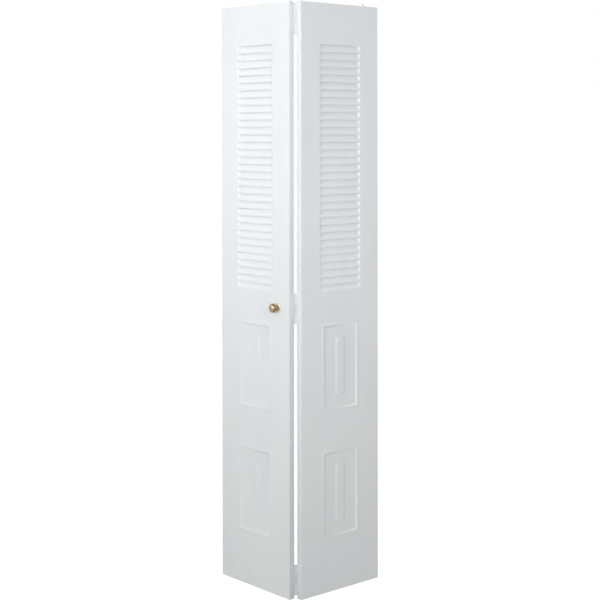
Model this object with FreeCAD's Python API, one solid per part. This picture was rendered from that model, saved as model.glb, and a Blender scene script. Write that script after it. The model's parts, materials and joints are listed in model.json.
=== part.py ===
"""Two-leaf bifold closet door in pressed steel: louvres above, two sunk panels below.

Each leaf is a folded steel tray, open at the back, whose front sheet has its louvres lanced and
its panels pressed. Cross channels stiffen it, three hinges join the two leaves, and the hardware
at the leaf ends carries the door between a floor bracket and an overhead track.

Leaf coordinates: u runs from the fold edge to the outer edge, t from the front face to the back,
z upwards from the floor. Everything is built on the pivot leaf's side of the fold, with the
hinge pin's axis on the Z axis, and the lead leaf's pieces are mirrored. Both leaves are then
swung back by half the rest fold, and the whole door is moved so that the origin lies on the
floor at the middle of its footprint. Millimetres.
"""
import FreeCAD
import Part
import math
import os

V = FreeCAD.Vector
UP = V(0, 0, 1)

# The leaf and its sheet
LEAF_HEIGHT = 2007.0
LEAF_WIDTH = 350.8
LEAF_THICKNESS = 22.2
SHEET = 0.8
SHEET_BEND = 0.8
RETURN_LIP = 16.0

# The fold
FOLD_GAP = 3.0
PIN_SETBACK = 5.0
REST_FOLD_DEG = 86.2

# The rails: plain bands of the front sheet
TOP_RAIL = 141.0
LOCK_RAIL = 105.0
MID_RAIL = 120.0
BOTTOM_RAIL = 174.5

# The louvres
LOUVRE_PITCH = 25.58
LOUVRE_WIDTH = 184.5
LOUVRE_DROP = 21.0
LOUVRE_DEPTH = 8.0
LOUVRE_END_RUN = 6.75

# The pressed panels
PANEL_WIDTH = 178.0
PANEL_HEIGHT = 313.0
BEAD_RISE = 1.2
BEAD_RUN = 10.0
COVE_RUN = 12.0
PANEL_SINK = 2.3
FIELD_MARGIN = 56.0
FIELD_SLOPE = 20.0

# The cross channels
CHANNEL_SHEET = 1.2
END_CHANNEL_LEG = 25.0
HAT_CROWN = 40.0
HAT_FLARE = 5.0
HAT_FOOT = 14.0
CHANNEL_END_GAP = 0.3

# The hinges
HINGE_LENGTH = 100.0
HINGE_TOP_INSET = 8.0
HINGE_BOTTOM_INSET = 11.5
HINGE_PLATE = 1.2
HINGE_FRONT_MARGIN = 2.5
KNUCKLE_COUNT = 3
KNUCKLE_RADIUS = 4.0
KNUCKLE_GAP = 0.3
HINGE_PIN_RADIUS = 2.25
HINGE_PIN_HEAD = 1.5
HINGE_PIN_HEAD_RADIUS = 3.4
RUNNING_CLEARANCE = 0.05
SWING_CLEARANCE = 0.4

# The pins at the leaf ends
END_PIN_INSET = 61.6
TOP_PIN_RADIUS = 4.76
TOP_PIN_RISE = 8.0
TOP_PIN_TRAVEL = 8.0
TOP_PIN_TIP_RADIUS = 4.5
TOP_PIN_TIP_LIFT = 0.4
TOP_PIN_TAIL_RADIUS = 3.0
GUIDE_TRAVEL = 12.0
GUIDE_FOOT_RADIUS = 6.5
GUIDE_FOOT_HEIGHT = 4.0
TIP_CHAMFER = 1.6
BUSH_WALL = 1.4
BUSH_FLANGE_RADIUS = 8.4
BUSH_SIDES = 8
BUSH_FLANGE = 1.5
BUSH_LENGTH = 24.0
BRACKET_SHEET = 1.5
BRACKET_WIDTH = 17.0
BRACKET_REACH = 13.0
TOP_BRACKET_HEIGHT = 62.0
CLIP_SHEET = 1.0
CLIP_WIDTH = 11.0
TAIL_BELOW_CLIP = 3.0
SPRING_WIRE_RADIUS = 0.55
SPRING_TURNS = 5
SPRING_STEPS = 6

# The adjustable pin at the bottom
BOTTOM_PIN_RADIUS = 3.97
BOTTOM_PIN_TRAVEL = 15.5
BOTTOM_PIN_RECESS = 0.4
NUT_SIDES = 6
NUT_CORNER_RADIUS = 8.8
NUT_HEIGHT = 9.0
NUT_GAP = 0.1

# The knob
KNOB_INSET = 64.0
KNOB_RADIUS = 14.5
KNOB_PROJECTION = 27.0
KNOB_NECK_RADIUS = 6.5
KNOB_FOOT_FLARE = 1.25
KNOB_WIDEST = 0.62
KNOB_STEPS = 3
KNOB_FLATS = 24
ROSE_RADIUS = 16.8
ROSE_HEIGHT = 3.2
SCREW_RADIUS = 2.0
SCREW_HEAD_RADIUS = 4.2
SCREW_HEAD_HEIGHT = 2.6
SCREW_GRIP = 12.0
HOLE_CLEARANCE = 0.2

# Worked out from the sizes above
HALF_FOLD_DEG = REST_FOLD_DEG / 2
LOWER_PANEL_Z = BOTTOM_RAIL + PANEL_HEIGHT / 2
UPPER_PANEL_Z = LOWER_PANEL_Z + PANEL_HEIGHT + MID_RAIL
MID_RAIL_Z = BOTTOM_RAIL + PANEL_HEIGHT + MID_RAIL / 2
PANELS_TOP_Z = UPPER_PANEL_Z + PANEL_HEIGHT / 2
LOCK_RAIL_Z = PANELS_TOP_Z + LOCK_RAIL / 2
LOUVRES_BOTTOM_Z = PANELS_TOP_Z + LOCK_RAIL
FIRST_LOUVRE_Z = LEAF_HEIGHT - TOP_RAIL
LOUVRE_COUNT = 1 + int((FIRST_LOUVRE_Z - LOUVRE_DROP - LOUVRES_BOTTOM_Z) / LOUVRE_PITCH)
END_PIN_U = LEAF_WIDTH - END_PIN_INSET
MID_T = LEAF_THICKNESS / 2
INNER_FRONT_T = SHEET
INNER_BACK_T = LEAF_THICKNESS - SHEET
CHANNEL_START_U = SHEET + SHEET_BEND + CHANNEL_END_GAP
KNUCKLE_BORE = HINGE_PIN_RADIUS + RUNNING_CLEARANCE
HINGES = {
    "top": LEAF_HEIGHT - HINGE_TOP_INSET - HINGE_LENGTH / 2,
    "middle": LOCK_RAIL_Z,
    "bottom": HINGE_BOTTOM_INSET + HINGE_LENGTH / 2,
}
BUSH_BORE = TOP_PIN_RADIUS + RUNNING_CLEARANCE
BUSH_RADIUS = BUSH_BORE + BUSH_WALL
TOP_WEB_Z = LEAF_HEIGHT - CHANNEL_SHEET
BUSH_FOOT_Z = LEAF_HEIGHT - BUSH_LENGTH
TOP_BRACKET_Z = TOP_WEB_Z - TOP_BRACKET_HEIGHT
PIN_SHOULDER_Z = BUSH_FOOT_Z - TOP_PIN_TRAVEL / 2
BOTTOM_BRACKET_HEIGHT = NUT_HEIGHT + 2 * NUT_GAP + 2 * BRACKET_SHEET


# ---------------------------------------------------------------- placing

def leaf_point(u, t, z):
    """The point of the unfolded pivot leaf at leaf coordinates u, t, z."""
    return V(FOLD_GAP / 2 + u, t - LEAF_THICKNESS - PIN_SETBACK, z)


def leaf_box(u_range, t_range, z_range):
    """A block between two leaf coordinates each way."""
    corner = leaf_point(u_range[0], t_range[0], z_range[0])
    size = [high - low for low, high in (u_range, t_range, z_range)]
    return Part.makeBox(size[0], size[1], size[2], corner)


def upright_rod(u, t, z_range, radius):
    """An upright cylinder in leaf coordinates."""
    return Part.makeCylinder(radius, z_range[1] - z_range[0], leaf_point(u, t, z_range[0]), UP)


def back_reach():
    """How far forward and back the swung leaves reach from the hinge pin's axis."""
    bend = SHEET + SHEET_BEND
    swing = math.radians(HALF_FOLD_DEG)
    fold_edge = FOLD_GAP / 2 + bend
    outer_edge = FOLD_GAP / 2 + LEAF_WIDTH - bend
    front = fold_edge * math.sin(swing) - (LEAF_THICKNESS + PIN_SETBACK - bend) * math.cos(swing) - bend
    back = outer_edge * math.sin(swing) - (PIN_SETBACK + bend) * math.cos(swing) + bend
    return front, back


def place(shape, side):
    """Swing a piece back with its leaf, on the pivot or the lead side of the fold."""
    if side == "lead":
        shape = shape.mirror(V(0, 0, 0), V(1, 0, 0))
        turn = -HALF_FOLD_DEG
    else:
        shape = shape.copy()
        turn = HALF_FOLD_DEG
    front, back = back_reach()
    shape.rotate(V(0, 0, 0), UP, turn)
    shape.translate(V(0, -(front + back) / 2, 0))
    return shape


# ---------------------------------------------------------------- sheet metal

def parallel_points(points, sheet, run):
    """The same outline moved one sheet to its left, seen against run."""
    sides = [run.cross(ahead - here).normalize() for here, ahead in zip(points, points[1:])]
    moved = [points[0] + sides[0] * sheet]
    for corner, side, next_side in zip(points[1:], sides, sides[1:]):
        moved.append(corner + (side + next_side) * (sheet / (1 + side.dot(next_side))))
    moved.append(points[-1] + sides[-1] * sheet)
    return moved


def creased_sheet(points, sheet, run):
    """A sheet on the left of the points, seen against run, creased at each and drawn out along run."""
    outline = points + parallel_points(points, sheet, run)[::-1]
    return Part.Face(Part.makePolygon(outline + outline[:1])).extrude(run)


def rounded_path(points, radius):
    """Straight runs through the points, joined by a tangent arc at each corner."""
    edges = []
    start = points[0]
    for before, corner, after in zip(points, points[1:], points[2:]):
        backward = (before - corner).normalize()
        forward = (after - corner).normalize()
        half_angle = backward.getAngle(forward) / 2
        inward = (backward + forward).normalize()
        arc_start = corner + backward * (radius / math.tan(half_angle))
        arc_end = corner + forward * (radius / math.tan(half_angle))
        arc_middle = corner + inward * (radius / math.sin(half_angle) - radius)
        edges.append(Part.LineSegment(start, arc_start).toShape())
        edges.append(Part.Arc(arc_start, arc_middle, arc_end).toShape())
        start = arc_end
    edges.append(Part.LineSegment(start, points[-1]).toShape())
    return edges


def rolled_sheet(points, bend, sheet, run):
    """A sheet that turns left round all of its points, with an inner bend radius at each."""
    inner_points = parallel_points(points, sheet, run)
    edges = rounded_path(points, bend + sheet)
    edges.append(Part.LineSegment(points[-1], inner_points[-1]).toShape())
    edges.extend(rounded_path(inner_points[::-1], bend))
    edges.append(Part.LineSegment(inner_points[0], points[0]).toShape())
    return Part.Face(Part.Wire(edges)).extrude(run)


def tray():
    """The folded sheet: front, two edges and the lips that return behind them."""
    outline = [
        (RETURN_LIP, LEAF_THICKNESS),
        (0, LEAF_THICKNESS),
        (0, 0),
        (LEAF_WIDTH, 0),
        (LEAF_WIDTH, LEAF_THICKNESS),
        (LEAF_WIDTH - RETURN_LIP, LEAF_THICKNESS),
    ]
    points = [leaf_point(u, t, 0) for u, t in outline]
    return rolled_sheet(points, SHEET_BEND, SHEET, V(0, 0, LEAF_HEIGHT))


# ---------------------------------------------------------------- pressed front

def louvre_pocket(z):
    """What one lanced louvre takes out of the front: deepest at its slit, with sloping ends."""
    middle = LEAF_WIDTH / 2
    foot_z = z - LOUVRE_DROP
    ahead = -LOUVRE_DEPTH
    section = Part.makePolygon([
        leaf_point(middle, ahead, z),
        leaf_point(middle, LOUVRE_DEPTH, z),
        leaf_point(middle, 0, foot_z),
        leaf_point(middle, ahead, foot_z),
        leaf_point(middle, ahead, z),
    ])
    slope_prism = Part.Face(section).extrude(V(LOUVRE_WIDTH, 0, 0))
    slope_prism.translate(V(-LOUVRE_WIDTH / 2, 0, 0))
    near = middle - LOUVRE_WIDTH / 2
    far = middle + LOUVRE_WIDTH / 2
    run = LOUVRE_END_RUN
    ends = Part.makePolygon([
        leaf_point(near, ahead, foot_z),
        leaf_point(near, 0, foot_z),
        leaf_point(near + run, LOUVRE_DEPTH, foot_z),
        leaf_point(far - run, LOUVRE_DEPTH, foot_z),
        leaf_point(far, 0, foot_z),
        leaf_point(far, ahead, foot_z),
        leaf_point(near, ahead, foot_z),
    ])
    end_prism = Part.Face(ends).extrude(V(0, 0, z - foot_z))
    return slope_prism.common(end_prism)


def panel_outline(z, inset, t):
    """The rectangle a given distance inside a panel's edge, at depth t."""
    near = (LEAF_WIDTH - PANEL_WIDTH) / 2 + inset
    far = (LEAF_WIDTH + PANEL_WIDTH) / 2 - inset
    low = z - PANEL_HEIGHT / 2 + inset
    high = z + PANEL_HEIGHT / 2 - inset
    corners = [(near, low), (far, low), (far, high), (near, high), (near, low)]
    return Part.makePolygon([leaf_point(u, t, corner_z) for u, corner_z in corners])


def panel_moulding(z, floor_t):
    """The bead and cove round a panel, mitred at the corners, down to a flat floor."""
    near = (LEAF_WIDTH - PANEL_WIDTH) / 2
    crest = BEAD_RUN
    cove_end = BEAD_RUN + COVE_RUN
    cove_slope = (PANEL_SINK + BEAD_RISE) / COVE_RUN
    soft = COVE_RUN / 6
    profile_points = {
        "edge": (0, 0),
        "bead": (crest / 2, -BEAD_RISE * 3 / 4),
        "crest": (crest, -BEAD_RISE),
        "shoulder": (crest + soft, -BEAD_RISE + cove_slope * soft / 2),
        "upper": (crest + 2 * soft, -BEAD_RISE + cove_slope * 1.5 * soft),
        "lower": (cove_end - soft, PANEL_SINK - cove_slope * soft),
        "heel": (cove_end, PANEL_SINK - cove_slope * soft / 4),
        "end": (cove_end + soft, PANEL_SINK),
    }
    at = {name: leaf_point(near + d, t, z) for name, (d, t) in profile_points.items()}
    inner_floor = leaf_point(near + cove_end + soft, floor_t, z)
    outer_floor = leaf_point(near, floor_t, z)
    profile = Part.Wire([
        Part.Arc(at["edge"], at["bead"], at["crest"]).toShape(),
        Part.Arc(at["crest"], at["shoulder"], at["upper"]).toShape(),
        Part.LineSegment(at["upper"], at["lower"]).toShape(),
        Part.Arc(at["lower"], at["heel"], at["end"]).toShape(),
        Part.LineSegment(at["end"], inner_floor).toShape(),
        Part.LineSegment(inner_floor, outer_floor).toShape(),
        Part.LineSegment(outer_floor, at["edge"]).toShape(),
    ])
    sweep = Part.BRepOffsetAPI.MakePipeShell(panel_outline(z, 0, 0))
    sweep.setTransitionMode(1)
    sweep.add(profile)
    sweep.build()
    sweep.makeSolid()
    return sweep.shape()


def raised_field(z, floor_t):
    """The middle of a panel, which slopes up from the sunk ground to a flat top."""
    ground = panel_outline(z, FIELD_MARGIN, PANEL_SINK)
    top = panel_outline(z, FIELD_MARGIN + FIELD_SLOPE, 0)
    slopes = Part.makeLoft([ground, top], True, True)
    plinth = Part.Face(panel_outline(z, FIELD_MARGIN, PANEL_SINK)).extrude(V(0, floor_t - PANEL_SINK, 0))
    return slopes.fuse(plinth)


def front_form():
    """A block whose front is the pressed relief of one leaf's louvres and panels."""
    margin = BEAD_RUN
    widest = max(LOUVRE_WIDTH, PANEL_WIDTH) / 2 + margin
    u_range = (LEAF_WIDTH / 2 - widest, LEAF_WIDTH / 2 + widest)
    z_range = (BOTTOM_RAIL - margin, FIRST_LOUVRE_Z + margin)
    floor_t = 2 * LOUVRE_DEPTH
    block = leaf_box(u_range, (0, floor_t), z_range)
    pockets = [louvre_pocket(FIRST_LOUVRE_Z - step * LOUVRE_PITCH) for step in range(LOUVRE_COUNT)]
    for z in (LOWER_PANEL_Z, UPPER_PANEL_Z):
        pockets.append(Part.Face(panel_outline(z, 0, -margin)).extrude(V(0, margin + floor_t, 0)))
    form = block.cut(Part.makeCompound(pockets))
    presses = []
    for z in (LOWER_PANEL_Z, UPPER_PANEL_Z):
        presses.append(panel_moulding(z, floor_t))
        presses.append(Part.Face(panel_outline(z, BEAD_RUN, PANEL_SINK)).extrude(V(0, floor_t - PANEL_SINK, 0)))
        presses.append(raised_field(z, floor_t))
    return form.multiFuse(presses).removeSplitter(), u_range, z_range


def skin(with_knob_hole):
    """One leaf's steel skin: the folded tray with its pressed front let in."""
    form, u_range, z_range = front_form()
    behind = form.copy()
    behind.translate(V(0, SHEET, 0))
    pressing = form.cut(behind)
    window = leaf_box(u_range, (-SHEET, 2 * SHEET), z_range)
    shape = tray().cut(window).fuse(pressing).removeSplitter()
    if with_knob_hole:
        shape = shape.cut(screw_hole())
    return shape


# ---------------------------------------------------------------- cross channels

def end_channel(web_z, leg_way, hole_radius):
    """A channel that closes the top or bottom of a leaf, its web flush with the leaf's end."""
    leg_z = web_z + leg_way * END_CHANNEL_LEG
    start_u = CHANNEL_START_U
    points = [
        leaf_point(start_u, INNER_FRONT_T, leg_z),
        leaf_point(start_u, INNER_FRONT_T, web_z),
        leaf_point(start_u, INNER_BACK_T, web_z),
        leaf_point(start_u, INNER_BACK_T, leg_z),
    ]
    run = V(LEAF_WIDTH - 2 * start_u, 0, 0)
    channel = creased_sheet(points[::leg_way], CHANNEL_SHEET, run)
    if not hole_radius:
        return channel
    hole_z = (web_z - 2 * CHANNEL_SHEET, web_z + 2 * CHANNEL_SHEET)
    return channel.cut(upright_rod(END_PIN_U, MID_T, hole_z, hole_radius))


def hat_channel(z, with_screw_hole):
    """A hat-section stiffener across the leaf: feet on the front sheet, flared legs, crown at the back."""
    start_u = CHANNEL_START_U
    crown_t = INNER_BACK_T - CHANNEL_SHEET
    crown = HAT_CROWN / 2
    root = crown + HAT_FLARE
    points = [
        leaf_point(start_u, INNER_FRONT_T, z + root + HAT_FOOT),
        leaf_point(start_u, INNER_FRONT_T, z + root),
        leaf_point(start_u, crown_t, z + crown),
        leaf_point(start_u, crown_t, z - crown),
        leaf_point(start_u, INNER_FRONT_T, z - root),
        leaf_point(start_u, INNER_FRONT_T, z - root - HAT_FOOT),
    ]
    channel = creased_sheet(points, CHANNEL_SHEET, V(LEAF_WIDTH - 2 * start_u, 0, 0))
    if with_screw_hole:
        channel = channel.cut(screw_hole())
    return channel


# ---------------------------------------------------------------- hinges

def knuckle_spans(hinge_z, first, gap):
    """The z ranges of every other knuckle of a hinge, each shortened by a gap at both ends."""
    length = HINGE_LENGTH / KNUCKLE_COUNT
    low = hinge_z - HINGE_LENGTH / 2
    return [(low + index * length + gap / 2, low + (index + 1) * length - gap / 2)
            for index in range(first, KNUCKLE_COUNT, 2)]


def hinge_plate(hinge_z, first_knuckle):
    """One hinge plate: a wing on the leaf's edge, notched for the other plate, and its knuckles."""
    low = hinge_z - (HINGE_LENGTH - KNUCKLE_GAP) / 2
    high = hinge_z + (HINGE_LENGTH - KNUCKLE_GAP) / 2
    axis_t = LEAF_THICKNESS + PIN_SETBACK
    plate = leaf_box((-HINGE_PLATE, 0), (HINGE_FRONT_MARGIN, axis_t), (low, high))
    notch_t = axis_t - KNUCKLE_RADIUS - SWING_CLEARANCE
    for span in knuckle_spans(hinge_z, 1 - first_knuckle, -KNUCKLE_GAP):
        plate = plate.cut(leaf_box((-2 * HINGE_PLATE, HINGE_PLATE), (notch_t, 2 * axis_t), span))
    for span in knuckle_spans(hinge_z, first_knuckle, KNUCKLE_GAP):
        plate = plate.fuse(Part.makeCylinder(KNUCKLE_RADIUS, span[1] - span[0], V(0, 0, span[0]), UP))
    bore = Part.makeCylinder(KNUCKLE_BORE, high - low, V(0, 0, low), UP)
    return plate.cut(bore).removeSplitter()


def hinge_pin(hinge_z):
    """A hinge pin with a flat head on the top knuckle."""
    low = hinge_z - HINGE_LENGTH / 2
    high = hinge_z + (HINGE_LENGTH - KNUCKLE_GAP) / 2
    shank = Part.makeCylinder(HINGE_PIN_RADIUS, high - low, V(0, 0, low), UP)
    head = Part.makeCylinder(HINGE_PIN_HEAD_RADIUS, HINGE_PIN_HEAD, V(0, 0, high), UP)
    return shank.fuse(head)


# ---------------------------------------------------------------- pins at the leaf ends

def turned(points):
    """A turned piece on the end pins' axis, from radius and height points."""
    outline = [leaf_point(END_PIN_U + radius, MID_T, z) for radius, z in points]
    face = Part.Face(Part.makePolygon(outline + outline[:1]))
    return face.revolve(leaf_point(END_PIN_U, MID_T, 0), UP, 360)


def flat_sided_rod(sides, corner_radius, z_range):
    """An upright rod with flat sides on the end pins' axis."""
    corners = []
    for index in range(sides):
        angle = 2 * math.pi * index / sides
        u = END_PIN_U + corner_radius * math.cos(angle)
        t = MID_T + corner_radius * math.sin(angle)
        corners.append(leaf_point(u, t, z_range[0]))
    outline = Part.makePolygon(corners + corners[:1])
    return Part.Face(outline).extrude(V(0, 0, z_range[1] - z_range[0]))


def end_bush():
    """The nylon bush in a leaf's top channel: flat-sided, so that it can't turn, with a round bore."""
    top_z = LEAF_HEIGHT + BUSH_FLANGE
    barrel = flat_sided_rod(BUSH_SIDES, BUSH_RADIUS, (BUSH_FOOT_Z, LEAF_HEIGHT))
    flange = flat_sided_rod(BUSH_SIDES, BUSH_FLANGE_RADIUS, (LEAF_HEIGHT, top_z))
    return barrel.fuse(flange).cut(upright_rod(END_PIN_U, MID_T, (BUSH_FOOT_Z, top_z), BUSH_BORE))


def bracket(low_z, height, low_hole, high_hole):
    """A U-shaped bracket with two holed flanges, open towards the leaf's outer edge."""
    start_t = MID_T - BRACKET_WIDTH / 2
    back_u = END_PIN_U - BRACKET_REACH
    tip_u = END_PIN_U + BRACKET_REACH
    high_z = low_z + height
    points = [
        leaf_point(tip_u, start_t, high_z),
        leaf_point(back_u, start_t, high_z),
        leaf_point(back_u, start_t, low_z),
        leaf_point(tip_u, start_t, low_z),
    ]
    strip = creased_sheet(points[::-1], BRACKET_SHEET, V(0, BRACKET_WIDTH, 0))
    low_range = (low_z - BRACKET_SHEET, low_z + 2 * BRACKET_SHEET)
    high_range = (high_z - 2 * BRACKET_SHEET, high_z + BRACKET_SHEET)
    holes = [
        upright_rod(END_PIN_U, MID_T, low_range, low_hole),
        upright_rod(END_PIN_U, MID_T, high_range, high_hole),
    ]
    return strip.cut(Part.makeCompound(holes))


def top_pivot_bracket():
    """The bracket under the pivot leaf's top channel, which backs the spring."""
    tail_hole = TOP_PIN_TAIL_RADIUS + RUNNING_CLEARANCE
    return bracket(TOP_BRACKET_Z, TOP_BRACKET_HEIGHT, tail_hole, BUSH_RADIUS + HOLE_CLEARANCE)


def top_pivot_pin():
    """The sprung top pivot: a pin with a chamfered tip that stands proud, and a thinner tail."""
    tip_z = LEAF_HEIGHT + BUSH_FLANGE + TOP_PIN_RISE
    tip_foot_z = LEAF_HEIGHT + BUSH_FLANGE + TOP_PIN_TIP_LIFT
    tail_z = TOP_BRACKET_Z - RUNNING_CLEARANCE - CLIP_SHEET - TAIL_BELOW_CLIP
    return turned([
        (0, tip_z),
        (TOP_PIN_TIP_RADIUS - TIP_CHAMFER, tip_z),
        (TOP_PIN_TIP_RADIUS, tip_z - TIP_CHAMFER),
        (TOP_PIN_TIP_RADIUS, tip_foot_z),
        (TOP_PIN_RADIUS, tip_foot_z),
        (TOP_PIN_RADIUS, PIN_SHOULDER_Z),
        (TOP_PIN_TAIL_RADIUS, PIN_SHOULDER_Z),
        (TOP_PIN_TAIL_RADIUS, tail_z),
        (0, tail_z),
    ])


def top_pivot_clip():
    """The push-on spring clip on the pin's tail, which stops the pin under the bracket."""
    top_z = TOP_BRACKET_Z - RUNNING_CLEARANCE
    z_range = (top_z - CLIP_SHEET, top_z)
    half = CLIP_WIDTH / 2
    plate = leaf_box((END_PIN_U - half, END_PIN_U + half), (MID_T - half, MID_T + half), z_range)
    return plate.cut(upright_rod(END_PIN_U, MID_T, z_range, TOP_PIN_TAIL_RADIUS))


def top_pivot_spring():
    """The coil spring between the bracket's flange and the pin's shoulder."""
    foot_z = TOP_BRACKET_Z + BRACKET_SHEET
    wire = SPRING_WIRE_RADIUS
    coil_radius = TOP_PIN_TAIL_RADIUS + 2 * wire
    start_z = foot_z + wire + RUNNING_CLEARANCE
    height = PIN_SHOULDER_Z - foot_z - 2 * wire - 2 * RUNNING_CLEARANCE
    steps = SPRING_TURNS * SPRING_STEPS
    points = []
    for step in range(steps + 1):
        angle = 2 * math.pi * step / SPRING_STEPS
        u = END_PIN_U + coil_radius * math.cos(angle)
        t = MID_T + coil_radius * math.sin(angle)
        points.append(leaf_point(u, t, start_z + height * step / steps))
    path = Part.makePolygon(points)
    section = Part.makePolygon([
        points[0] + V(wire * math.cos(corner * math.pi / 2), 0, wire * math.sin(corner * math.pi / 2))
        for corner in range(5)
    ])
    sweep = Part.BRepOffsetAPI.MakePipeShell(path)
    sweep.setTransitionMode(1)
    sweep.add(section)
    sweep.build()
    sweep.makeSolid()
    return sweep.shape()


def top_guide_pin():
    """The nylon guide, pushed home: flush with its bush, with a foot that stops it when raised."""
    tip_z = LEAF_HEIGHT + BUSH_FLANGE
    foot_top_z = BUSH_FOOT_Z - GUIDE_TRAVEL - RUNNING_CLEARANCE
    return turned([
        (0, tip_z),
        (TOP_PIN_RADIUS, tip_z),
        (TOP_PIN_RADIUS, foot_top_z),
        (GUIDE_FOOT_RADIUS, foot_top_z),
        (GUIDE_FOOT_RADIUS, foot_top_z - GUIDE_FOOT_HEIGHT),
        (0, foot_top_z - GUIDE_FOOT_HEIGHT),
    ])


def bottom_pivot_bracket():
    """The bracket over the pivot leaf's bottom channel, which holds the nut and guides the pin."""
    pin_hole = BOTTOM_PIN_RADIUS + RUNNING_CLEARANCE
    return bracket(CHANNEL_SHEET, BOTTOM_BRACKET_HEIGHT, pin_hole, pin_hole)


def bottom_pivot_pin():
    """The adjustable bottom pivot, wound up so that its tip is inside the leaf."""
    top_z = CHANNEL_SHEET + BOTTOM_BRACKET_HEIGHT + BOTTOM_PIN_TRAVEL + BOTTOM_PIN_RADIUS
    return turned([
        (0, BOTTOM_PIN_RECESS),
        (BOTTOM_PIN_RADIUS, BOTTOM_PIN_RECESS),
        (BOTTOM_PIN_RADIUS, top_z),
        (0, top_z),
    ])


def bottom_adjusting_nut():
    """The hexagonal nut on the bottom pivot, turned inside its bracket."""
    low = CHANNEL_SHEET + BRACKET_SHEET + NUT_GAP
    z_range = (low, low + NUT_HEIGHT)
    bore = upright_rod(END_PIN_U, MID_T, z_range, BOTTOM_PIN_RADIUS + RUNNING_CLEARANCE)
    return flat_sided_rod(NUT_SIDES, NUT_CORNER_RADIUS, z_range).cut(bore)


# ---------------------------------------------------------------- knob

def knob_ring(radius, t):
    """The corners of one ring of flats round the knob's axis, at depth t."""
    corners = []
    for index in range(KNOB_FLATS):
        angle = 2 * math.pi * index / KNOB_FLATS
        corners.append(leaf_point(KNOB_INSET + radius * math.cos(angle), t,
                                  LOCK_RAIL_Z + radius * math.sin(angle)))
    return corners


def across_leaf(points):
    """A piece turned in flats round the knob's axis, from radius and depth points."""
    flats = []
    for (radius, t), (next_radius, next_t) in zip(points, points[1:] + points[:1]):
        if radius == next_radius == 0:
            continue
        ring = knob_ring(radius, t)
        next_ring = knob_ring(next_radius, next_t)
        for index in range(KNOB_FLATS):
            corners = [ring[index]]
            if next_radius:
                corners.append(next_ring[index])
            corners.append(next_ring[index - 1])
            if radius:
                corners.append(ring[index - 1])
            flats.append(Part.Face(Part.makePolygon(corners + corners[:1])))
    return Part.Solid(Part.makeShell(flats)).removeSplitter()


def screw_hole():
    """The hole for the knob's screw, through the whole leaf."""
    start = leaf_point(KNOB_INSET, -SHEET, LOCK_RAIL_Z)
    return Part.makeCylinder(SCREW_RADIUS + HOLE_CLEARANCE, LEAF_THICKNESS + 2 * SHEET, start, V(0, 1, 0))


def knob_rose():
    """The round rose under the knob, bevelled to its edge."""
    hole = SCREW_RADIUS + HOLE_CLEARANCE
    return across_leaf([
        (hole, 0),
        (ROSE_RADIUS, 0),
        (ROSE_RADIUS - ROSE_HEIGHT, -ROSE_HEIGHT),
        (hole, -ROSE_HEIGHT),
    ])


def knob_head():
    """The turned brass knob: a waisted neck on the rose, swelling into a domed head."""
    bore = SCREW_RADIUS + RUNNING_CLEARANCE
    length = KNOB_PROJECTION - ROSE_HEIGHT
    widest_t = -ROSE_HEIGHT - length * KNOB_WIDEST
    points = [
        (0, -ROSE_HEIGHT - SCREW_GRIP),
        (bore, -ROSE_HEIGHT - SCREW_GRIP),
        (bore, -ROSE_HEIGHT),
        (KNOB_NECK_RADIUS * KNOB_FOOT_FLARE, -ROSE_HEIGHT),
        (KNOB_NECK_RADIUS, -ROSE_HEIGHT - length / 5),
    ]
    for step in range(1, KNOB_STEPS):
        angle = math.pi / 2 * step / KNOB_STEPS
        swell = (KNOB_RADIUS - KNOB_NECK_RADIUS) * math.sin(angle)
        rise = (length * KNOB_WIDEST - length / 5) * (1 - math.cos(angle))
        points.append((KNOB_NECK_RADIUS + swell, -ROSE_HEIGHT - length / 5 - rise))
    for step in range(KNOB_STEPS):
        angle = math.pi / 2 * step / KNOB_STEPS
        rise = length * (1 - KNOB_WIDEST) * math.sin(angle)
        points.append((KNOB_RADIUS * math.cos(angle), widest_t - rise))
    points.append((0, -KNOB_PROJECTION))
    return across_leaf(points)


def knob_screw():
    """The machine screw that holds the knob, its head on the lock channel's crown."""
    seat_t = INNER_BACK_T
    tip_t = -ROSE_HEIGHT - SCREW_GRIP + 2 * HOLE_CLEARANCE
    return across_leaf([
        (0, tip_t),
        (SCREW_RADIUS, tip_t),
        (SCREW_RADIUS, seat_t),
        (SCREW_HEAD_RADIUS, seat_t),
        (SCREW_HEAD_RADIUS, seat_t + SCREW_HEAD_HEIGHT),
        (0, seat_t + SCREW_HEAD_HEIGHT),
    ])


# ---------------------------------------------------------------- the door

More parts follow.
